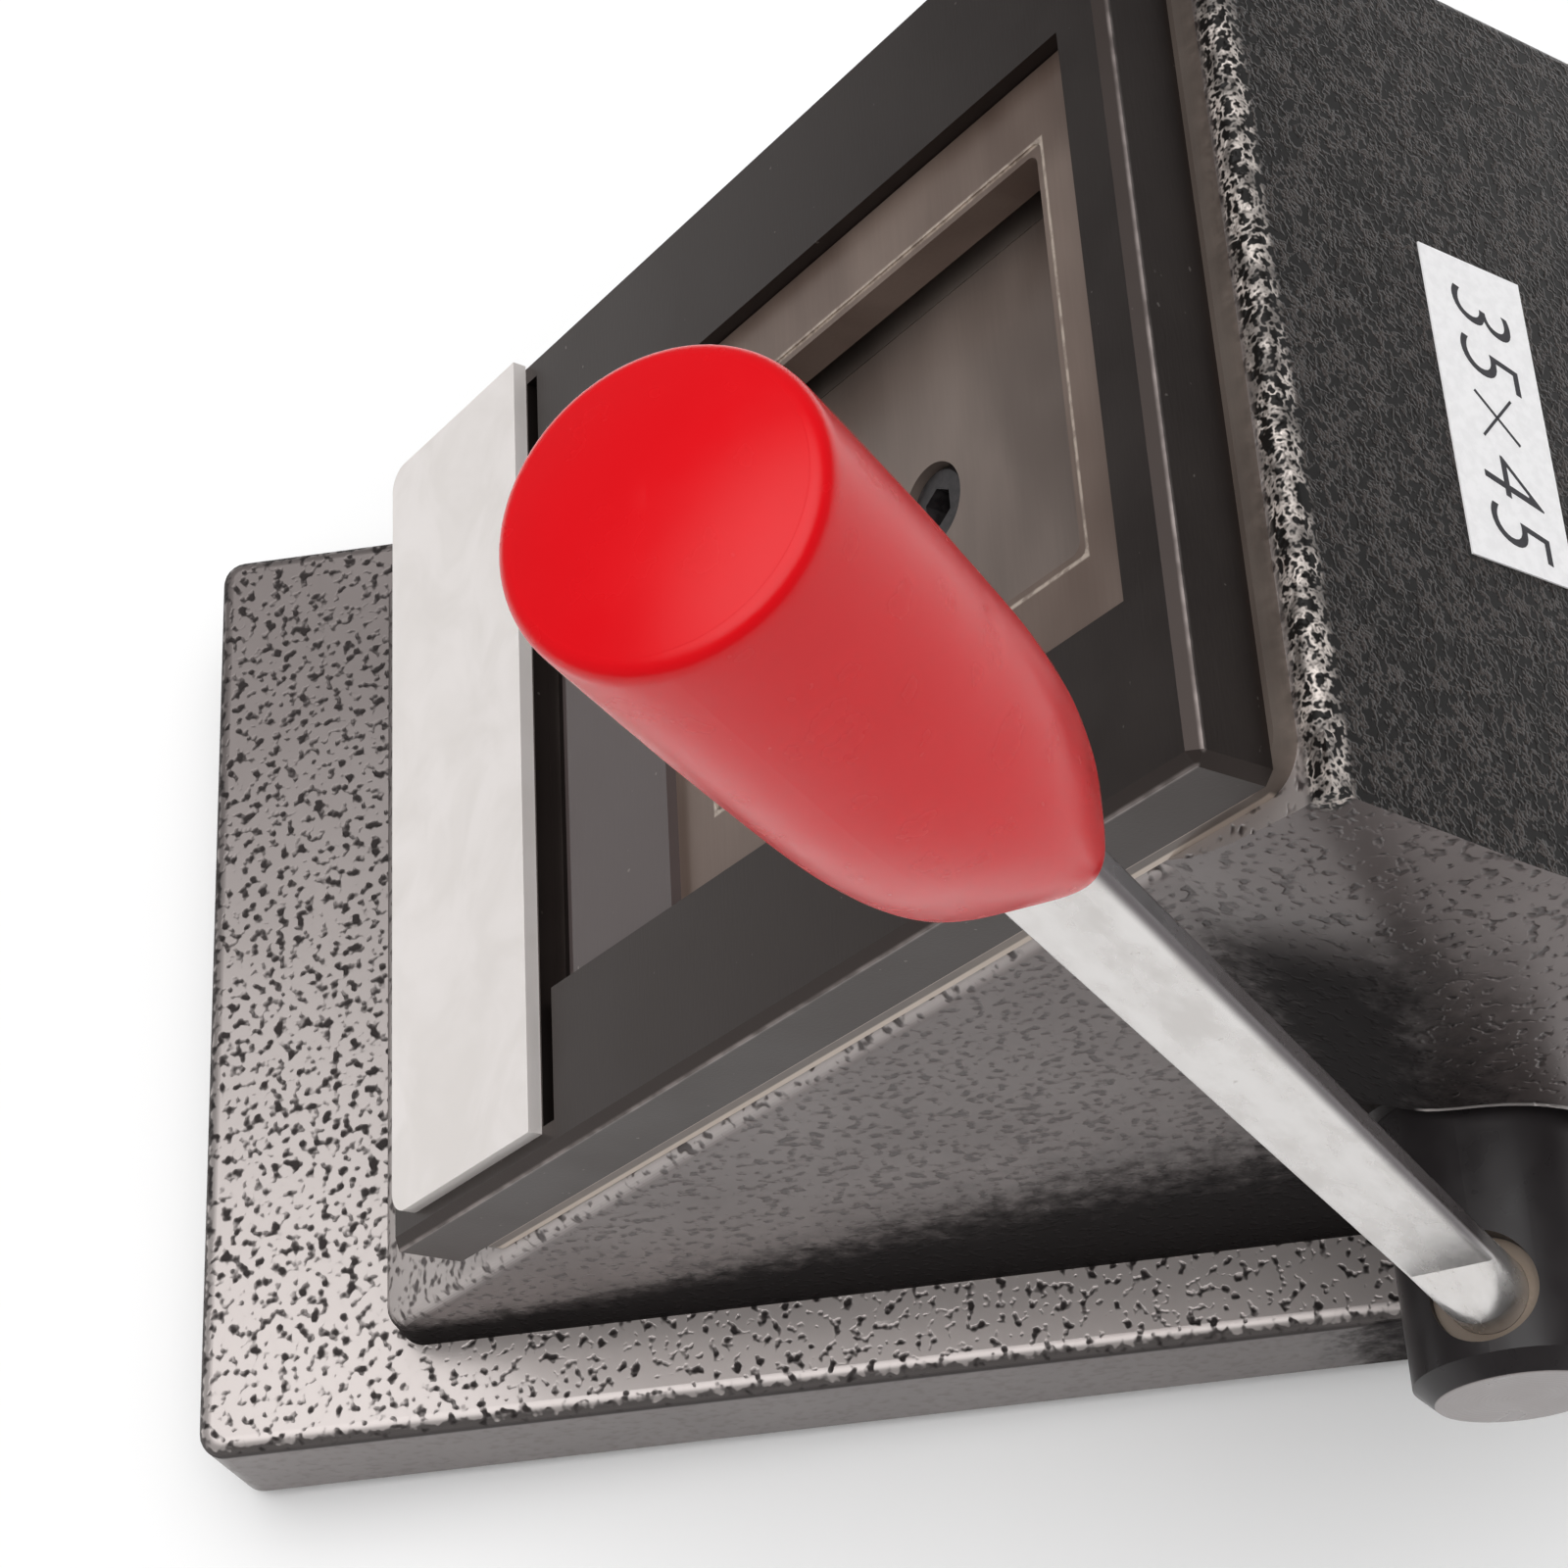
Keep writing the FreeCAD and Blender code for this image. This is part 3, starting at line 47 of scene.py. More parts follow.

# %% [markdown]
# ## Where things are
# The head leans back 45 degrees. Its finishes follow its own directions: u across the head, v up
# the slope and w out of it. The seat of those directions is the middle of the opening, worked out
# from the solids: across from the die plate, and 59 mm out along w from the axis of the shaft.

# %% Directions of the head and the line of the shaft
HEAD_LEAN = math.radians(45.0)
LEVER_LEAN = math.radians(16.4)
DIE_LOW, DIE_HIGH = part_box("die_plate")
SHAFT_LOW, SHAFT_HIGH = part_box("drive_shaft")
HEAD_MIDDLE_X = 0.5 * (DIE_LOW.x + DIE_HIGH.x)
SHAFT_AXIS_Y = 0.5 * (SHAFT_LOW.y + SHAFT_HIGH.y)
SHAFT_AXIS_Z = 0.5 * (SHAFT_LOW.z + SHAFT_HIGH.z)
HEAD_TOP_ABOVE_SHAFT = 59.0 * MM
HEAD_ORIGIN = Vector((
    HEAD_MIDDLE_X,
    SHAFT_AXIS_Y - HEAD_TOP_ABOVE_SHAFT * math.sin(HEAD_LEAN),
    SHAFT_AXIS_Z + HEAD_TOP_ABOVE_SHAFT * math.cos(HEAD_LEAN),
))
LEVER_LOW, LEVER_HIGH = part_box("lever_arm")
LEVER_ROOT = Vector((0.5 * (LEVER_LOW.x + LEVER_HIGH.x), SHAFT_AXIS_Y, SHAFT_AXIS_Z))
print("head origin", [round(v, 4) for v in HEAD_ORIGIN])
print("lever root", [round(v, 4) for v in LEVER_ROOT])

# %% [markdown]
# ## Small tools for finishes
# Colours are written as sRGB hex, as a paint chart gives them, and one function turns them
# into the linear numbers that the renderer works in. Another small function adds a node with
# its settings and links, so that a finish reads as a short list of what is mixed with what.

# %% Colour and node helpers
def linear(hex_code):
    channels = [int(hex_code[n : n + 2], 16) / 255 for n in (1, 3, 5)]
    bent = [c / 12.92 if c <= 0.04045 else ((c + 0.055) / 1.055) ** 2.4 for c in channels]
    return (*bent, 1.0)


def add_node(tree, kind, inputs=None, **settings):
    """Adds a node; each input is a number, a colour or the output of another node."""
    made = tree.nodes.new("ShaderNode" + kind)
    for name, value in settings.items():
        setattr(made, name, value)
    for name, value in (inputs or {}).items():
        if isinstance(value, bpy.types.NodeSocket):
            tree.links.new(value, made.inputs[name])
        else:
            made.inputs[name].default_value = value
    return made


def maths(tree, operation, first, second=0.0, third=0.0):
    made = add_node(tree, "Math", {0: first, 1: second, 2: third}, operation=operation)
    return made.outputs[0]


def inverse(tree, amount):
    return maths(tree, "SUBTRACT", 1.0, amount)


def times(tree, first, second):
    return maths(tree, "MULTIPLY", first, second)


def distance(tree, first, second):
    """How far a place is from an axis, given its two offsets from that axis."""
    squares = [times(tree, offset, offset) for offset in (first, second)]
    return maths(tree, "SQRT", maths(tree, "ADD", *squares))


def off_line(tree, value, middle):
    return maths(tree, "ABSOLUTE", maths(tree, "SUBTRACT", value, middle))


def ramp(tree, value, start, stop, low=0.0, high=1.0):
    """Smooth step from low to high while value goes from start to stop."""
    inputs = {"Value": value, "From Min": start, "From Max": stop, "To Min": low, "To Max": high}
    made = add_node(tree, "MapRange", inputs, interpolation_type="SMOOTHSTEP", clamp=True)
    return made.outputs["Result"]


def blend_colours(tree, amount, first, second):
    made = add_node(tree, "Mix", {0: amount, 6: first, 7: second}, data_type="RGBA")
    return made.outputs[2]


def noise(tree, place, grain_mm, detail=2.0, roughness=0.5, distortion=0.0):
    """Cloudy pattern whose blotches are about grain_mm across."""
    inputs = {
        "Vector": place, "Scale": 1.0 / grain_mm, "Detail": detail,
        "Roughness": roughness, "Distortion": distortion,
    }
    return add_node(tree, "TexNoise", inputs).outputs["Fac"]


def relief(tree, height, depth_mm):
    inputs = {"Height": height, "Strength": 1.0, "Distance": depth_mm * MM}
    return add_node(tree, "Bump", inputs).outputs["Normal"]


# %% [markdown]
# Every pattern is laid out in millimetres on the object itself, so a grain of 1.4 means
# 1.4 mm wherever it falls, and it stays on the piece when the piece moves.

# %% Places on the object in millimetres
def place_mm(tree):
    found = add_node(tree, "TexCoord").outputs["Object"]
    return add_node(tree, "VectorMath", {0: found, "Scale": 1.0 / MM}, operation="SCALE").outputs[0]


def leaning_place_mm(tree, origin, lean):
    """Place measured from an origin, in directions that lean back about x."""
    shift = [-v / MM for v in origin]
    moved = add_node(tree, "VectorMath", {0: place_mm(tree), 1: shift}, operation="ADD").outputs[0]
    inputs = {"Vector": moved, "Axis": (1, 0, 0), "Angle": -lean}
    return add_node(tree, "VectorRotate", inputs, rotation_type="AXIS_ANGLE").outputs[0]


def split(tree, place):
    parts = add_node(tree, "SeparateXYZ", {0: place}).outputs
    return parts[0], parts[1], parts[2]


def stretched(tree, place, factors):
    return add_node(tree, "VectorMath", {0: place, 1: factors}, operation="MULTIPLY").outputs[0]


def new_finish(name, **values):
    """A material with one Principled shader; values are its plain settings."""
    made = bpy.data.materials.new(name)
    made.use_nodes = True
    shader = made.node_tree.nodes["Principled BSDF"]
    for socket, value in values.items():
        shader.inputs[socket.replace("_", " ")].default_value = value
    return made, made.node_tree, shader


def wire(tree, shader, **sockets):
    for socket, value in sockets.items():
        tree.links.new(value, shader.inputs[socket.replace("_", " ")])


# %% [markdown]
# ## Hammertone enamel on cast iron
# The casting is sprayed with a hammertone enamel: aluminium flake in a grey stoving paint that
# draws together as it dries. On level faces it leaves small soft hollows where the dark ground
# shows, fewer where the coat is heavier toward the lever side. On the slope behind the head the
# flake gathers into a fine network of light threads. On upright walls the paint runs smoother.
# The flake makes it half metallic: level faces mirror the bright ceiling, and faces that lean away
# mirror the dim walls. Light and shade are also painted into the colour: upright walls are coloured
# darker than level faces, the ground between the threads behind the head is near black, and level
# faces get lighter toward the near side. Painted shade darkens the feet of the walls, the hollow in
# front of the shaft boss and a band along the plate's upper edge, where the paint is also made
# rougher and more metallic, and a painted glint brightens the threads just below the ridge.

# %% Grains and lines of the enamel
HOLLOW_GRAIN_MM = 0.95
THREAD_GRAIN_MM = 1.15
RAGGED_GRAIN_MM = 2.2
CLOUD_GRAIN_MM = 14.0
PAINT_DEPTH_MM = 0.12
PLATE_TOP_MM = 16.3
FAR_SIDE_MM = -48.0
NEAR_SIDE_MM = 40.0
RIDGE_V_MM = 33.0
RIDGE_TOP_MM = -9.26
FRONT_END_Y_MM = -80.0
BOSS_FRONT_Y_MM = 20.0
BOSS_REAR_Y_MM = 30.0
REAR_WALL_Y_MM = 56.0
SHADE_REACH_MM = 7.0
SHADE_RISE_MM = 27.0
SHADE_RAGGED_MM = 12.0
BOSS_HOLLOW_MM = 8.0
BOSS_HOLLOW_LEAN = 0.12
BUSH_RIM_RADIUS_MM = 10.0
BOSS_FACE_FROM_END_MM = 21.5


def thread_network(tree, place):
    """Soft threads where a cloudy pattern crosses its middle value, stronger here and there."""
    field = noise(tree, place, THREAD_GRAIN_MM, detail=2.0, roughness=0.65)
    line = ramp(tree, off_line(tree, field, 0.5), 0.005, 0.095, low=1.0, high=0.0)
    patches = noise(tree, place, 1.9 * THREAD_GRAIN_MM, detail=2.0)
    return times(tree, line, ramp(tree, patches, 0.35, 0.65, low=0.3, high=1.0))


def calm_paint(tree, place):
    """How far the paint flowed out: nearly flat on the plate's edge, softened on the walls."""
    z = split(tree, place)[2]
    return ramp(tree, z, PLATE_TOP_MM - 1.4, PLATE_TOP_MM, low=0.95, high=0.2)


def ridge_glint(tree, place):
    """Painted glint on the thread rims in the first millimetres of the rear slope, below the
    rounded ridge.
    """
    _, v, w = split(tree, leaning_place_mm(tree, HEAD_ORIGIN, HEAD_LEAN))
    below = ramp(tree, w, RIDGE_TOP_MM - 2.4, RIDGE_TOP_MM - 1.6)
    return times(tree, below, ramp(tree, v, RIDGE_V_MM, RIDGE_V_MM + 1.0))


def painted_shade_on_plate_edge(tree, place, field):
    """Painted shade: a dark band along the plate's upper edge, where its top rounds over into its
    side.
    """
    z = split(tree, place)[2]
    wavy = maths(tree, "MULTIPLY_ADD", maths(tree, "SUBTRACT", field, 0.5), 1.6, z)
    top = ramp(tree, wavy, PLATE_TOP_MM - 0.35, PLATE_TOP_MM - 0.05, low=0.75, high=0.0)
    return times(tree, top, ramp(tree, z, PLATE_TOP_MM - 2.2, PLATE_TOP_MM - 1.5))


def painted_shade_at_foot(tree, place):
    """Painted shade low on the walls, reaching highest below the shaft boss."""
    x, y, z = split(tree, place)
    toward_boss = ramp(tree, y, FRONT_END_Y_MM, BOSS_FRONT_Y_MM)
    past_boss = ramp(tree, y, BOSS_REAR_Y_MM, REAR_WALL_Y_MM, low=1.0, high=0.2)
    lever_side = ramp(tree, x, -40.0, 20.0, low=0.3, high=1.0)
    rise = times(tree, times(tree, toward_boss, past_boss), lever_side)
    reach = maths(tree, "MULTIPLY_ADD", rise, SHADE_RISE_MM, SHADE_REACH_MM)
    above = maths(tree, "SUBTRACT", z, PLATE_TOP_MM)
    part = maths(tree, "DIVIDE", above, reach)
    spray = noise(tree, place, RAGGED_GRAIN_MM, detail=3.0, roughness=0.7)
    ragged = maths(tree, "MULTIPLY_ADD", spray, 0.7, part)
    on_wall = ramp(tree, above, -0.6, 0.4)
    return times(tree, ramp(tree, ragged, 0.8, 1.6, low=1.0, high=0.0), on_wall)


def painted_shade_by_boss(tree, place):
    """Painted shade in the hollow where the wall meets the front of the shaft boss."""
    x, y, z = split(tree, place)
    leaning = maths(tree, "MULTIPLY_ADD", z, BOSS_HOLLOW_LEAN, y)
    middle = (SHAFT_AXIS_Y + BOSS_HOLLOW_LEAN * SHAFT_AXIS_Z) / MM - BOSS_HOLLOW_MM
    spray = noise(tree, place, RAGGED_GRAIN_MM, detail=3.0, roughness=0.7)
    off_middle = off_line(tree, leaning, middle)
    ragged = maths(tree, "MULTIPLY_ADD", spray, SHADE_RAGGED_MM, off_middle)
    band = inverse(tree, ramp(tree, ragged, 8.0, 22.0))
    lever_side = ramp(tree, maths(tree, "SUBTRACT", x, HEAD_MIDDLE_X / MM), 30.0, 34.0)
    low = ramp(tree, z, 80.0, 100.0, low=1.0, high=0.0)
    return times(tree, times(tree, band, lever_side), low)


def bush_rim(tree, place):
    """Thin bright edge where the enamel is cut back round the shaft hole."""
    x, y, z = split(tree, place)
    across = maths(tree, "SUBTRACT", y, SHAFT_AXIS_Y / MM)
    along = maths(tree, "SUBTRACT", z, SHAFT_AXIS_Z / MM)
    over = maths(tree, "SUBTRACT", distance(tree, across, along), BUSH_RIM_RADIUS_MM)
    inner = ramp(tree, over, -0.1, 0.0)
    outer = ramp(tree, over, 0.35, 0.6, low=1.0, high=0.0)
    face = SHAFT_HIGH.x / MM - BOSS_FACE_FROM_END_MM
    return times(tree, times(tree, inner, outer), ramp(tree, x, face, face + 0.5))


# %% Hammertone enamel
def hammertone_enamel():
    made, tree, shader = new_finish("hammertone_enamel", IOR=1.5)
    place = place_mm(tree)
    x = split(tree, place)[0]
    facing = split(tree, add_node(tree, "NewGeometry").outputs["True Normal"])
    steep = ramp(tree, facing[2], 0.1, 0.6, low=1.0, high=0.0)
    upright = ramp(tree, facing[2], 0.3, 0.6, low=1.0, high=0.0)
    behind = ramp(tree, facing[1], 0.3, 0.6)

    # the coat and its hollows
    cloud = noise(tree, place, CLOUD_GRAIN_MM, detail=2.0)
    heavier = ramp(tree, x, 0.6 * NEAR_SIDE_MM, NEAR_SIDE_MM, low=-0.005, high=0.04)
    field = noise(tree, place, HOLLOW_GRAIN_MM, detail=1.0, roughness=0.4)
    field = maths(tree, "ADD", field, heavier)
    calm = inverse(tree, times(tree, steep, calm_paint(tree, place)))
    hollow = times(tree, ramp(tree, field, 0.28, 0.48, low=1.0, high=0.0), calm)
    # painted light: level faces are coloured lighter toward the near side
    near_side_light = ramp(tree, x, FAR_SIDE_MM, NEAR_SIDE_MM)
    level = blend_colours(tree, near_side_light, linear("#675f5d"), linear("#bab2af"))
    # painted shade: upright walls and their hollows are coloured darker than level faces
    ground = blend_colours(tree, steep, level, linear("#574d4b"))
    ground = blend_colours(tree, times(tree, cloud, 0.3), ground, linear("#b0a8a6"))
    pit = blend_colours(tree, steep, linear("#544d4c"), linear("#3c3534"))
    colour = blend_colours(tree, hollow, ground, pit)

    # the threads behind the head, with a painted glint along the ridge
    thread = thread_network(tree, place)
    wear_and_glint = ridge_glint(tree, place)
    thread_tone = blend_colours(tree, wear_and_glint, linear("#443d3a"), linear("#dfd5ce"))
    # painted shade: the ground between the threads behind the head is near black
    threads = blend_colours(tree, thread, linear("#120f0e"), thread_tone)
    colour = blend_colours(tree, maths(tree, "MAXIMUM", behind, wear_and_glint), colour, threads)

    # painted shade in the corners and along the plate's upper edge, and the cut rim of the shaft
    # hole
    painted_shade = maths(tree, "MAXIMUM", painted_shade_at_foot(tree, place), painted_shade_by_boss(tree, place))
    painted_shade = maths(tree, "MAXIMUM", times(tree, painted_shade, upright), painted_shade_on_plate_edge(tree, place, field))
    colour = blend_colours(tree, painted_shade, colour, linear("#242020"))
    colour = blend_colours(tree, bush_rim(tree, place), colour, linear("#d9d2cf"))

    height = blend_colours(tree, behind, inverse(tree, hollow), thread)
    gloss = ramp(tree, field, 0.3, 0.6, low=0.38, high=0.3)
    gloss = maths(tree, "MAXIMUM", gloss, times(tree, wear_and_glint, 0.5))
    gloss = maths(tree, "MAXIMUM", gloss, times(tree, painted_shade, 0.8))
    flake = ramp(tree, painted_shade, 0.0, 1.0, low=0.45, high=0.9)
    normal = relief(tree, height, depth_mm=PAINT_DEPTH_MM)
    wire(tree, shader, Base_Color=colour, Metallic=flake, Roughness=gloss, Normal=normal)
    return made


HAMMERTONE = hammertone_enamel()
print("made", HAMMERTONE.name)

# %% [markdown]
# ## Blackened tool steel
# The head frame is milled steel with a black oxide finish: nearly black, slightly brown, with a
# soft sheen. A painted highlight lightens the lines where the frame's bevels meet its sides, and
# fine specks of dust lie on it.

# %% Blackened steel
HEAD_SIDE_MM = 38.75
HEAD_REAR_MM = 32.55
BEVEL_FOOT_MM = -1.2


def blackened_steel(name, dark, wear_and_glint, edges=None, **values):
    made, tree, shader = new_finish(name, **values)
    place = leaning_place_mm(tree, HEAD_ORIGIN, HEAD_LEAN)
    cloud = noise(tree, place, 9.0, detail=3.0)
    grain = noise(tree, stretched(tree, place, (0.15, 1.0, 1.0)), 0.25, detail=2.0)
    base = blend_colours(tree, cloud, linear(dark), linear(wear_and_glint))
    speck = ramp(tree, noise(tree, place, 0.9, detail=1.0), 0.78, 0.82)
    colour = blend_colours(tree, times(tree, speck, 0.5), base, linear("#8c8580"))
    if edges is not None:
        # painted highlight: where edges are given, those lines are coloured lighter
        patchy = ramp(tree, noise(tree, place, 2.2, detail=2.0), 0.3, 0.7, low=0.35, high=1.0)
        rub_and_highlight = times(tree, edges(tree, place), patchy)
        colour = blend_colours(tree, rub_and_highlight, colour, linear("#857c79"))
    gloss = ramp(tree, cloud, 0.3, 0.7, low=0.28, high=0.36)
    normal = relief(tree, grain, depth_mm=0.006)
    wire(tree, shader, Base_Color=colour, Roughness=gloss, Normal=normal)
    return made


def frame_edge_highlight(tree, place):
    """Painted highlight: thin lines where the bevels of the head frame meet its sides."""
    u, v, w = split(tree, place)
    on_side = ramp(tree, maths(tree, "ABSOLUTE", u), HEAD_SIDE_MM, HEAD_SIDE_MM + 0.2)
    on_rear = ramp(tree, v, HEAD_REAR_MM, HEAD_REAR_MM + 0.2)
    near_top = ramp(tree, w, BEVEL_FOOT_MM, BEVEL_FOOT_MM + 0.25)
    return times(tree, maths(tree, "MAXIMUM", on_side, on_rear), near_top)


HEAD_STEEL = blackened_steel(
    "blackened_head_steel", "#352e2c", "#413a37", edges=frame_edge_highlight, Metallic=0.85
)
PANEL_STEEL = blackened_steel(
    "blackened_panel_steel", "#4c4241", "#564d4c", Specular_IOR_Level=0.3
)
COVER_STEEL = blackened_steel(
    "blackened_cover_steel", "#2a2727", "#353132", Specular_IOR_Level=0.3
)
print("made", HEAD_STEEL.name, PANEL_STEEL.name, COVER_STEEL.name)

# %% [markdown]
# ## Ground tool steel
# The die plate and the punch are hardened steel, ground flat. Grinding leaves fine straight
# lines, use leaves soft rubbed patches, and oil and card dust dull it to a brownish grey. The
# cutting edge of the opening is relieved by a narrow land that wears bright and ragged.

# %% Ground steel of the die, the punch and what carries them
LAND_HALF_WIDE_MM = 18.25
LAND_HALF_LONG_MM = 23.25
SEAT_MIDDLE_MM = -8.16
SEAT_SIDE_MM = 38.6


def ground_steel(name, dull, bright, wear=None):
    made, tree, shader = new_finish(name, Metallic=0.4)
    place = leaning_place_mm(tree, HEAD_ORIGIN, HEAD_LEAN)
    lines = noise(tree, stretched(tree, place, (0.06, 1.0, 1.0)), 0.35, detail=3.0, roughness=0.6)
    along_u = stretched(tree, place, (0.5, 1.0, 1.0))
    rub_and_highlight = noise(tree, along_u, 13.0, detail=2.0, roughness=0.5, distortion=0.6)
    amount = maths(tree, "MULTIPLY_ADD", lines, 0.1, times(tree, rub_and_highlight, 0.9))
    colour = blend_colours(tree, ramp(tree, amount, 0.3, 0.8), linear(dull), linear(bright))
    if wear is not None:
        colour = blend_colours(tree, wear(tree, place), colour, linear("#c2b3a6"))
    gloss = ramp(tree, rub_and_highlight, 0.3, 0.7, low=0.3, high=0.42)
    normal = relief(tree, lines, depth_mm=0.004)
    wire(tree, shader, Base_Color=colour, Roughness=gloss, Normal=normal)
    return made


def land_wear(tree, place):
    """Ragged bright line at the step of the land round the opening."""
    u, v, _ = split(tree, place)
    grit = noise(tree, place, 1.1, detail=3.0, roughness=0.6)
    ragged = ramp(tree, grit, 0.36, 0.6, low=0.35, high=1.0)
    across = maths(tree, "SUBTRACT", maths(tree, "ABSOLUTE", u), LAND_HALF_WIDE_MM)
    along = maths(tree, "SUBTRACT", maths(tree, "ABSOLUTE", v), LAND_HALF_LONG_MM)
    outside = maths(tree, "MAXIMUM", across, along)
    line = ramp(tree, maths(tree, "ABSOLUTE", outside), 0.12, 0.32, low=1.0, high=0.0)
    return times(tree, line, ragged)


def seat_edges(tree, place):
    """The side edges of the seat plate, coloured lighter in two lines along it."""
    u, _, w = split(tree, place)
    line = ramp(tree, off_line(tree, w, SEAT_MIDDLE_MM), 0.35, 0.6)
    on_side = ramp(tree, maths(tree, "ABSOLUTE", u), SEAT_SIDE_MM - 0.15, SEAT_SIDE_MM - 0.05)
    return times(tree, line, on_side)


DIE_STEEL = ground_steel("ground_die_steel", "#67564d", "#8a796f", land_wear)
PUNCH_STEEL = ground_steel("ground_punch_steel", "#6b5e57", "#8a7c74")
SEAT_STEEL = ground_steel("ground_seat_steel", "#5c524c", "#80756d", seat_edges)
print("made", DIE_STEEL.name, PUNCH_STEEL.name, SEAT_STEEL.name)

# %% [markdown]
# ## Polished steel
# The strip across the front of the head and the lever are bright, polished steel. The lever's faces
# mirror the pale room. The strip is only slightly metallic, and its almost white colour is a
# painted reflection of the pale room; finger marks show on both as soft duller clouds. The lever's
# narrow back edge is coloured darker than its broad faces.

# %% Polished strip and lever
BACK_EDGE_MM = (2.5, 3.3)
ROUND_ROOT_MM = (12.0, 24.0)


def polished_strip():
    made, tree, shader = new_finish("polished_strip_steel", Metallic=0.35)
    place = leaning_place_mm(tree, HEAD_ORIGIN, HEAD_LEAN)
    cloud = noise(tree, place, 10.0, detail=3.0, roughness=0.6, distortion=0.8)
    lines = noise(tree, stretched(tree, place, (1.0, 0.08, 1.0)), 0.3, detail=2.0)
    # painted reflection: the strip's near-white colour stands in for its mirror of the pale room
    colour = blend_colours(tree, ramp(tree, cloud, 0.35, 0.7), linear("#ece6e3"), linear("#e5dfdb"))
    gloss = ramp(tree, cloud, 0.3, 0.7, low=0.29, high=0.32)
    normal = relief(tree, lines, depth_mm=0.003)
    wire(tree, shader, Base_Color=colour, Roughness=gloss, Normal=normal)
    return made


def polished_lever():
    made, tree, shader = new_finish("polished_lever_steel", Metallic=0.85)
    place = leaning_place_mm(tree, LEVER_ROOT, LEVER_LEAN)
    _, y, z = split(tree, place)
    cloud = noise(tree, stretched(tree, place, (1.0, 1.0, 0.35)), 3.0, detail=3.0, roughness=0.6)
    lines = noise(tree, stretched(tree, place, (1.0, 1.0, 0.05)), 0.3, detail=2.0)
    face = blend_colours(tree, ramp(tree, cloud, 0.35, 0.7), linear("#dcd9d7"), linear("#cdc9c6"))
    back_edge = times(tree, ramp(tree, y, *BACK_EDGE_MM), ramp(tree, z, *ROUND_ROOT_MM))
    spots = noise(tree, place, 1.4, detail=3.0, roughness=0.7)
    stain = ramp(tree, spots, 0.66, 0.74, low=0.0, high=0.45)
    face = blend_colours(tree, stain, face, linear("#8b7f78"))
    colour = blend_colours(tree, back_edge, face, linear("#5c5658"))
    gloss = ramp(tree, cloud, 0.3, 0.7, low=0.2, high=0.32)
    normal = relief(tree, lines, depth_mm=0.004)
    wire(tree, shader, Base_Color=colour, Roughness=gloss, Normal=normal)
    return made


STRIP_STEEL = polished_strip()
LEVER_STEEL = polished_lever()
print("made", STRIP_STEEL.name, LEVER_STEEL.name)

# %% [markdown]
# ## Turned shaft
# The shaft is turned bar with a black oxide coat. Its end is faced off bright, and the tool
# leaves fine rings there. The cross hole for the lever was drilled later, so its wall is paler.
# One finish covers all three: a step along x changes black to bright, and so does the distance
# from the lever's axis.

# %% Turned shaft
HOLE_RADIUS_MM = 4.35
HOLE_PALER = 0.45


def turned_shaft():
    made, tree, shader = new_finish("turned_shaft_steel", IOR=1.45, Specular_IOR_Level=0.4)
    place = leaning_place_mm(tree, LEVER_ROOT, LEVER_LEAN)
    x, y, z = split(tree, place)
    end = (SHAFT_HIGH.x - LEVER_ROOT.x) / MM
    faced = ramp(tree, x, end - 0.12, end - 0.04)
    reach = distance(tree, y, z)
    rings = maths(tree, "SINE", times(tree, reach, 14.0))
    cloud = noise(tree, place, 4.0, detail=3.0)
    black = blend_colours(tree, cloud, linear("#1f1c1d"), linear("#2d292a"))
    bright = blend_colours(tree, cloud, linear("#8f8887"), linear("#a7a09f"))
    colour = blend_colours(tree, faced, black, bright)
    past_hole = maths(tree, "SUBTRACT", distance(tree, x, y), HOLE_RADIUS_MM)
    drilled = ramp(tree, past_hole, -0.05, 0.05, low=HOLE_PALER, high=0.0)
    colour = blend_colours(tree, drilled, colour, linear("#c0ab96"))
    lines = noise(tree, stretched(tree, place, (1.0, 0.1, 0.1)), 0.3, detail=2.0)
    turned = maths(tree, "ADD", lines, times(tree, rings, faced))
    gloss = ramp(tree, cloud, 0.3, 0.7, low=0.26, high=0.4)
    normal = relief(tree, turned, depth_mm=0.004)
    wire(tree, shader, Base_Color=colour, Roughness=gloss, Normal=normal)
    return made


SHAFT_STEEL = turned_shaft()
print("made", SHAFT_STEEL.name)

# %% [markdown]
# ## Red moulded grip
# The grip is a glossy red plastic moulding. The colour is even, the surface has the faint
# waviness of a moulding, and the gloss is slightly broken by handling.

# %% Red plastic
def moulded_plastic():
    made, tree, shader = new_finish("red_moulded_plastic", IOR=1.5, Specular_IOR_Level=0.3)
    place = leaning_place_mm(tree, LEVER_ROOT, LEVER_LEAN)
    cloud = noise(tree, place, 7.0, detail=2.0)
    colour = blend_colours(tree, cloud, linear("#e00210"), linear("#e80414"))
    gloss = ramp(tree, noise(tree, place, 3.0, detail=3.0), 0.3, 0.7, low=0.22, high=0.28)
    normal = relief(tree, cloud, depth_mm=0.012)
    wire(tree, shader, Base_Color=colour, Roughness=gloss, Normal=normal)
    return made


RED_PLASTIC = moulded_plastic()
print("made", RED_PLASTIC.name)

# %% [markdown]
# ## Rubber, sintered iron, screws, springs and paper
# The remaining finishes are small: moulded rubber feet with a matt bloom, sintered iron
# bushes dark with oil, oiled black screws, drawn spring wire, and a paper sticker.

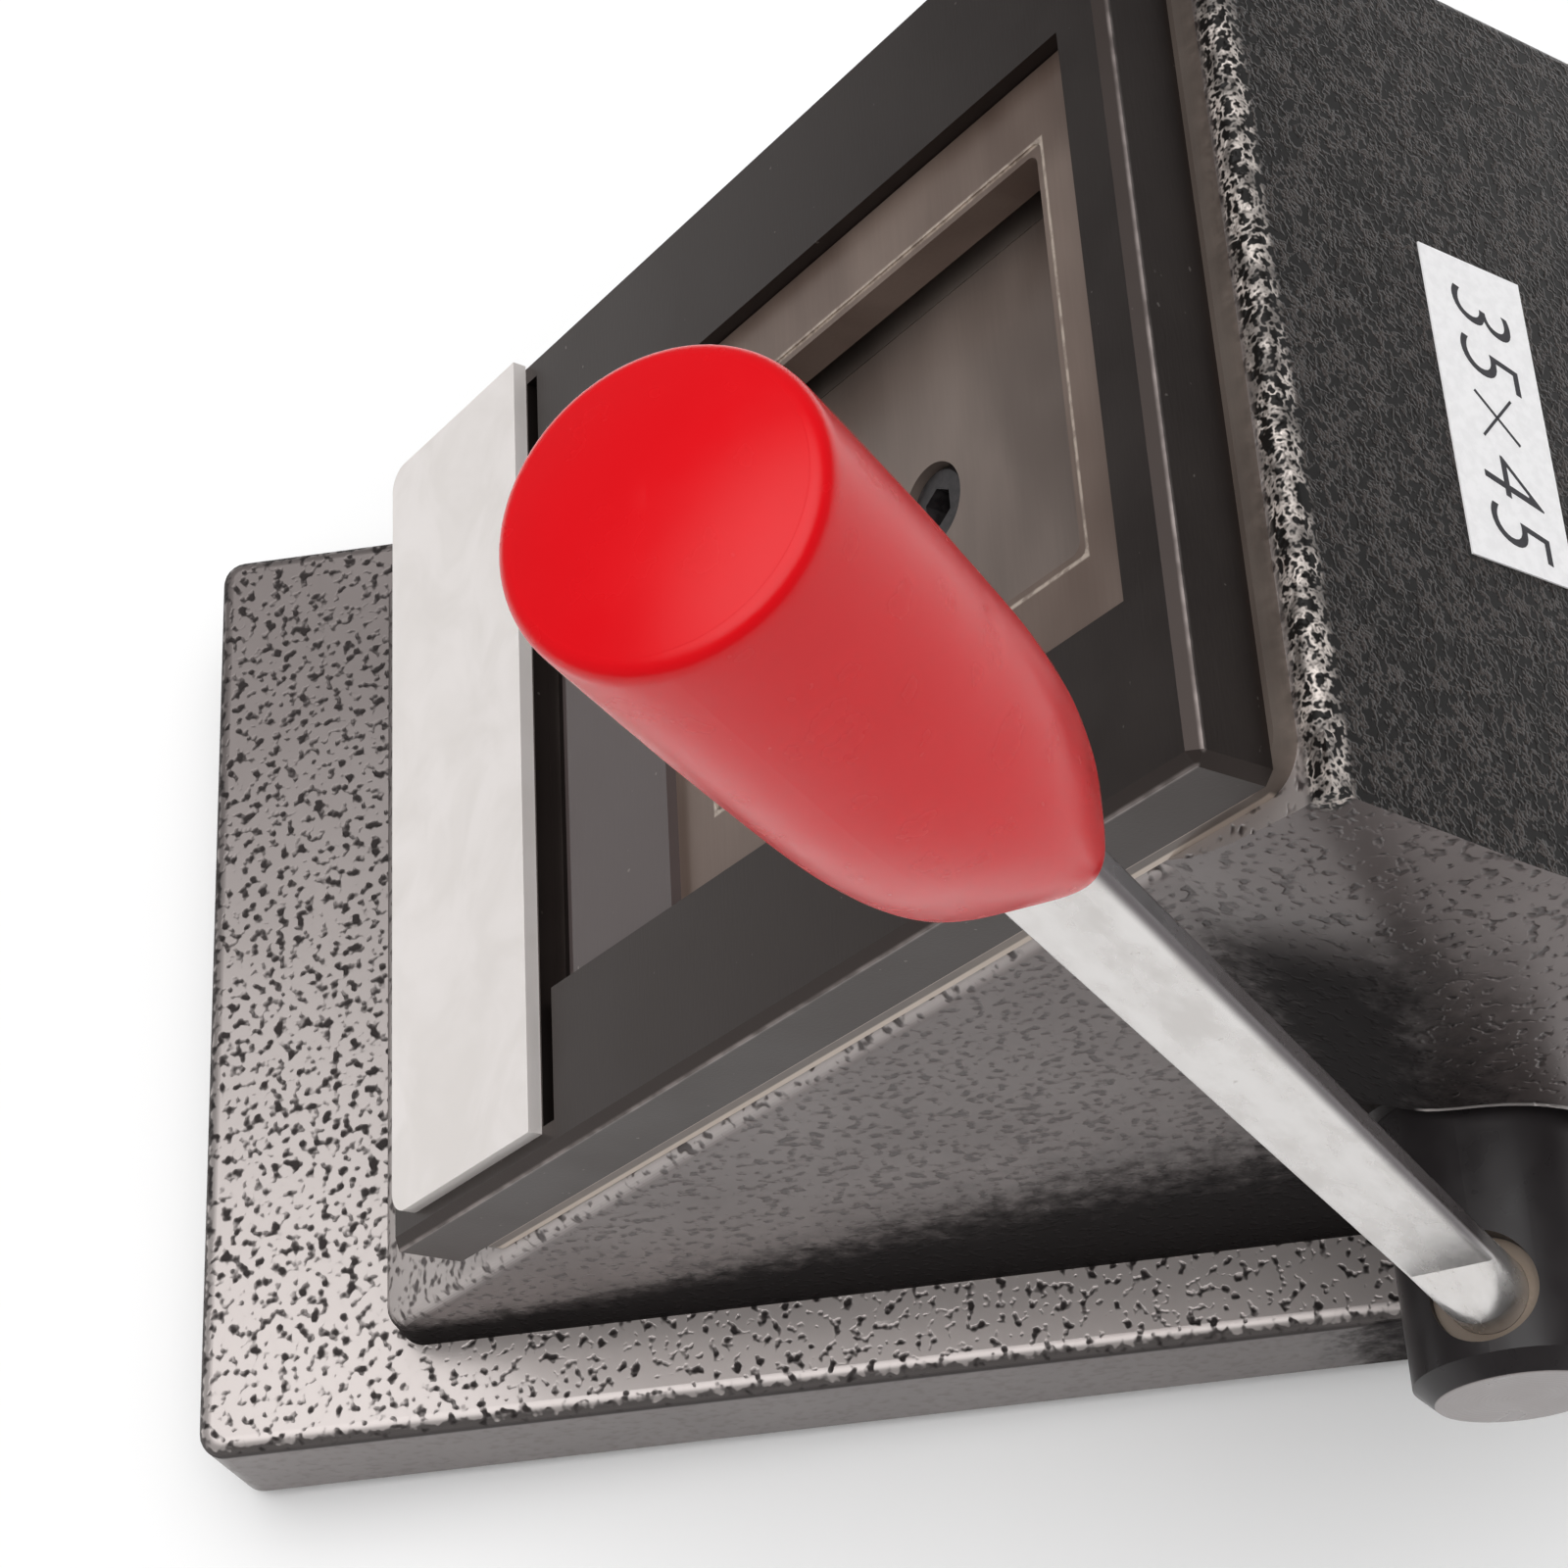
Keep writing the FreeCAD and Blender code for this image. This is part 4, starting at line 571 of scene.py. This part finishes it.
# %% Small finishes
def mottled_finish(name, first, second, grain_mm, low_gloss, high_gloss, depth_mm, **values):
    made, tree, shader = new_finish(name, **values)
    place = place_mm(tree)
    cloud = noise(tree, place, grain_mm, detail=3.0, roughness=0.6)
    colour = blend_colours(tree, ramp(tree, cloud, 0.35, 0.65), linear(first), linear(second))
    gloss = ramp(tree, cloud, 0.3, 0.7, low=low_gloss, high=high_gloss)
    normal = relief(tree, cloud, depth_mm=depth_mm)
    wire(tree, shader, Base_Color=colour, Roughness=gloss, Normal=normal)
    return made


RUBBER = mottled_finish(
    "moulded_rubber", "#1b1b1b", "#262525",
    grain_mm=0.8, low_gloss=0.7, high_gloss=0.85, depth_mm=0.03, IOR=1.52,
)
BUSH_IRON = mottled_finish(
    "oiled_sintered_iron", "#2a2625", "#393433",
    grain_mm=0.35, low_gloss=0.35, high_gloss=0.5, depth_mm=0.02, Metallic=0.6,
)
SCREW_STEEL = mottled_finish(
    "oiled_screw_steel", "#2b2829", "#3c3839",
    grain_mm=0.7, low_gloss=0.28, high_gloss=0.42, depth_mm=0.01, Metallic=0.4,
)
SPRING_STEEL = mottled_finish(
    "drawn_spring_steel", "#77736f", "#8e8985",
    grain_mm=0.5, low_gloss=0.25, high_gloss=0.35, depth_mm=0.01, Metallic=0.9,
)
PAPER = mottled_finish(
    "sticker_paper", "#f4f3f4", "#fbfafb",
    grain_mm=0.9, low_gloss=0.5, high_gloss=0.6, depth_mm=0.008, IOR=1.45,
)
INK = mottled_finish(
    "printed_ink", "#2c2b30", "#3a393e",
    grain_mm=0.5, low_gloss=0.5, high_gloss=0.6, depth_mm=0.004, IOR=1.5,
)
print("made", [m.name for m in (RUBBER, BUSH_IRON, SCREW_STEEL, SPRING_STEEL, PAPER, INK)])

# %% [markdown]
# ## Finish every solid
# Each solid is given one finish by name. Where many pieces share one, such as the screws, the
# start of the name is enough.

# %% Put the finishes on the solids
FINISH_OF = {
    "cast_body": HAMMERTONE,
    "die_frame": HEAD_STEEL,
    "rear_bar": HEAD_STEEL,
    "front_panel": PANEL_STEEL,
    "bottom_cover": COVER_STEEL,
    "drive_shaft": SHAFT_STEEL,
    "die_plate": DIE_STEEL,
    "punch": PUNCH_STEEL,
    "punch_screw": SCREW_STEEL,
    "seat_plate": SEAT_STEEL,
    "guide_block": PUNCH_STEEL,
    "ram": PUNCH_STEEL,
    "crosshead": PUNCH_STEEL,
    "roller": SEAT_STEEL,
    "roller_pin": SEAT_STEEL,
    "cam": PUNCH_STEEL,
    "cam_key": SEAT_STEEL,
    "front_strip": STRIP_STEEL,
    "lever_arm": LEVER_STEEL,
    "grip": RED_PLASTIC,
    "bush": BUSH_IRON,
    "foot_screw": SCREW_STEEL,
    "foot": RUBBER,
    "cover_screw": SCREW_STEEL,
    "frame_screw": SCREW_STEEL,
    "bar_screw": SCREW_STEEL,
    "guide_screw": SCREW_STEEL,
    "return_spring": SPRING_STEEL,
    "retaining_ring": SPRING_STEEL,
    "size_label": PAPER,
}


def finish_for(node_name):
    fitting = [start for start in FINISH_OF if node_name.startswith(start)]
    return FINISH_OF[max(fitting, key=len)]


for node_name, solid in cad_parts.items():
    solid.data.materials.clear()
    solid.data.materials.append(finish_for(node_name))
print("finished", len(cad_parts), "solids")

# %% [markdown]
# ## Digits on the sticker
# The sticker carries the size of the opening in millimetres, as two plain numbers with a thin
# cross between them. The numbers are cut from the built-in typeface as flat shapes a few
# hundredths of a millimetre thick and slanted a little, the cross is two strokes, and all of it
# lies on the sticker, on the slope behind the head.

# %% Plain numbers
DIGIT_HEIGHT = 9.0 * MM
DIGIT_SLANT = 0.28
DIGIT_THINNING = 0.13 * MM
DIGIT_SPACING = 1.14
INK_THICK = 0.02 * MM
SIZE_TEXT = "35  45"
SIZE_SPAN = 23.6 * MM
CROSS_PLACE = (0.4 * MM, 0.0, 0.0)
CROSS_ARM = 5.6 * MM
CROSS_LINE = 0.24 * MM
CROSS_TURNS_DEG = (48.0, -42.0)
LABEL_LOW, LABEL_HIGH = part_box("size_label")
LABEL_MIDDLE = 0.5 * (LABEL_LOW + LABEL_HIGH)
LABEL_HALF_THICK = 0.075 * MM


def size_numbers():
    """The two numbers as flat shapes, face up about their own middle."""
    outline = bpy.data.curves.new("size_digits", "FONT")
    outline.body = SIZE_TEXT
    outline.size = DIGIT_HEIGHT
    outline.shear = DIGIT_SLANT
    outline.offset = -DIGIT_THINNING
    outline.space_character = DIGIT_SPACING
    outline.align_x = "CENTER"
    outline.align_y = "CENTER"
    outline.extrude = INK_THICK
    outline.resolution_u = 6
    made = bpy.data.objects.new("size_digits", outline)
    bpy.context.scene.collection.objects.link(made)
    bpy.context.view_layer.update()
    evaluated = made.evaluated_get(bpy.context.evaluated_depsgraph_get())
    flat = bpy.data.meshes.new_from_object(evaluated)
    bpy.data.objects.remove(made)
    across = [corner.co.x for corner in flat.vertices]
    widen = SIZE_SPAN / (max(across) - min(across))
    flat.transform(Matrix.Diagonal((widen, 1.0, 1.0, 1.0)))
    return flat


def add_cross(mesh):
    """Two thin crossed strokes between the numbers."""
    for turn_deg in CROSS_TURNS_DEG:
        turn = Matrix.Rotation(math.radians(turn_deg), 4, "Z")
        stretch = Matrix.Diagonal((CROSS_ARM, CROSS_LINE, 2 * INK_THICK, 1.0))
        stroke = Matrix.Translation(CROSS_PLACE) @ turn @ stretch
        bmesh.ops.create_cube(mesh, size=1.0, matrix=stroke)


def printed_digits():
    mesh = bmesh.new()
    mesh.from_mesh(size_numbers())
    add_cross(mesh)
    # the reader's right is +x and the digits' tops point down the back slope
    face_out = Vector((0, math.sin(HEAD_LEAN), math.cos(HEAD_LEAN)))
    middle = LABEL_MIDDLE + face_out * (LABEL_HALF_THICK + INK_THICK)
    turn = Matrix.Rotation(-HEAD_LEAN, 4, "X")
    bmesh.ops.transform(mesh, matrix=Matrix.Translation(middle) @ turn, verts=mesh.verts)
    data = bpy.data.meshes.new("size_digits")
    mesh.to_mesh(data)
    mesh.free()
    piece = bpy.data.objects.new("size_digits", data)
    bpy.context.scene.collection.objects.link(piece)
    data.materials.append(INK)
    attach(piece, "base")
    return piece


DIGITS = printed_digits()
print("digits", len(DIGITS.data.polygons), "faces")

# %% [markdown]
# ## Floor, light and camera
# A pale table top is the white background; its colour fades to grey, a painted shade, well outside
# the view. The light is a wide soft ceiling over dim walls, which gives the metallic paint part of
# its contrast; the rest is painted into the paint's colour. The camera looks steeply down from the
# lever side.

# %% Floor
FLOOR_HALF = 12.0
FLOOR_FADE_MM = (500.0, 1700.0)


def pale_floor():
    mesh = bmesh.new()
    bmesh.ops.create_grid(mesh, x_segments=8, y_segments=8, size=FLOOR_HALF)
    data = bpy.data.meshes.new("floor")
    mesh.to_mesh(data)
    mesh.free()
    made = bpy.data.objects.new("floor", data)
    bpy.context.scene.collection.objects.link(made)
    finish, tree, shader = new_finish("pale_floor", Roughness=0.9, IOR=1.3)
    place = place_mm(tree)
    speckle = noise(tree, place, 60.0, detail=2.0)
    pale = blend_colours(tree, speckle, linear("#fdfdfd"), linear("#ffffff"))
    away = add_node(tree, "VectorMath", {0: place}, operation="LENGTH").outputs["Value"]
    # painted shade: the floor's colour fades to grey from half a metre out
    colour = blend_colours(tree, ramp(tree, away, *FLOOR_FADE_MM), pale, linear("#7f7f7f"))
    wire(tree, shader, Base_Color=colour)
    data.materials.append(finish)


pale_floor()
print("floor", 2 * FLOOR_HALF, "m across")

# %% Light
WALL_LEVEL = 0.22
CEILING_LEVEL = 2.7
CEILING_EDGE = (0.68, 0.95)


def light_the_room():
    """Dim walls and a wide bright ceiling that starts about 43 degrees up."""
    world = bpy.data.worlds.new("room")
    world.use_nodes = True
    bpy.context.scene.world = world
    tree = world.node_tree
    toward = split(tree, add_node(tree, "TexCoord").outputs["Generated"])
    level = ramp(tree, toward[2], *CEILING_EDGE, WALL_LEVEL, CEILING_LEVEL)
    tree.links.new(level, tree.nodes["Background"].inputs["Strength"])
    tree.nodes["Background"].inputs["Color"].default_value = (1.0, 1.0, 1.0, 1.0)


light_the_room()
print("lit")

# %% Camera
CAMERA_PLACE = (0.12593, 0.00351, 0.30870)
CAMERA_TURN_DEG = (27.584, 7.025, 85.299)
CAMERA_LENS_MM = 76.05
CAMERA_SENSOR_MM = 36.0
CAMERA_SHIFT = (-0.1203, -0.0585)


def steep_camera():
    lens = bpy.data.cameras.new("camera")
    lens.lens = CAMERA_LENS_MM
    lens.sensor_width = CAMERA_SENSOR_MM
    lens.sensor_fit = "HORIZONTAL"
    lens.shift_x, lens.shift_y = CAMERA_SHIFT
    lens.clip_start = 0.01
    made = bpy.data.objects.new("camera", lens)
    made.location = CAMERA_PLACE
    made.rotation_euler = Euler([math.radians(turn) for turn in CAMERA_TURN_DEG], "XYZ")
    bpy.context.scene.collection.objects.link(made)
    bpy.context.scene.camera = made


steep_camera()
print("camera", bpy.context.scene.camera.name)
bpy.context.scene.view_settings.view_transform = "Standard"
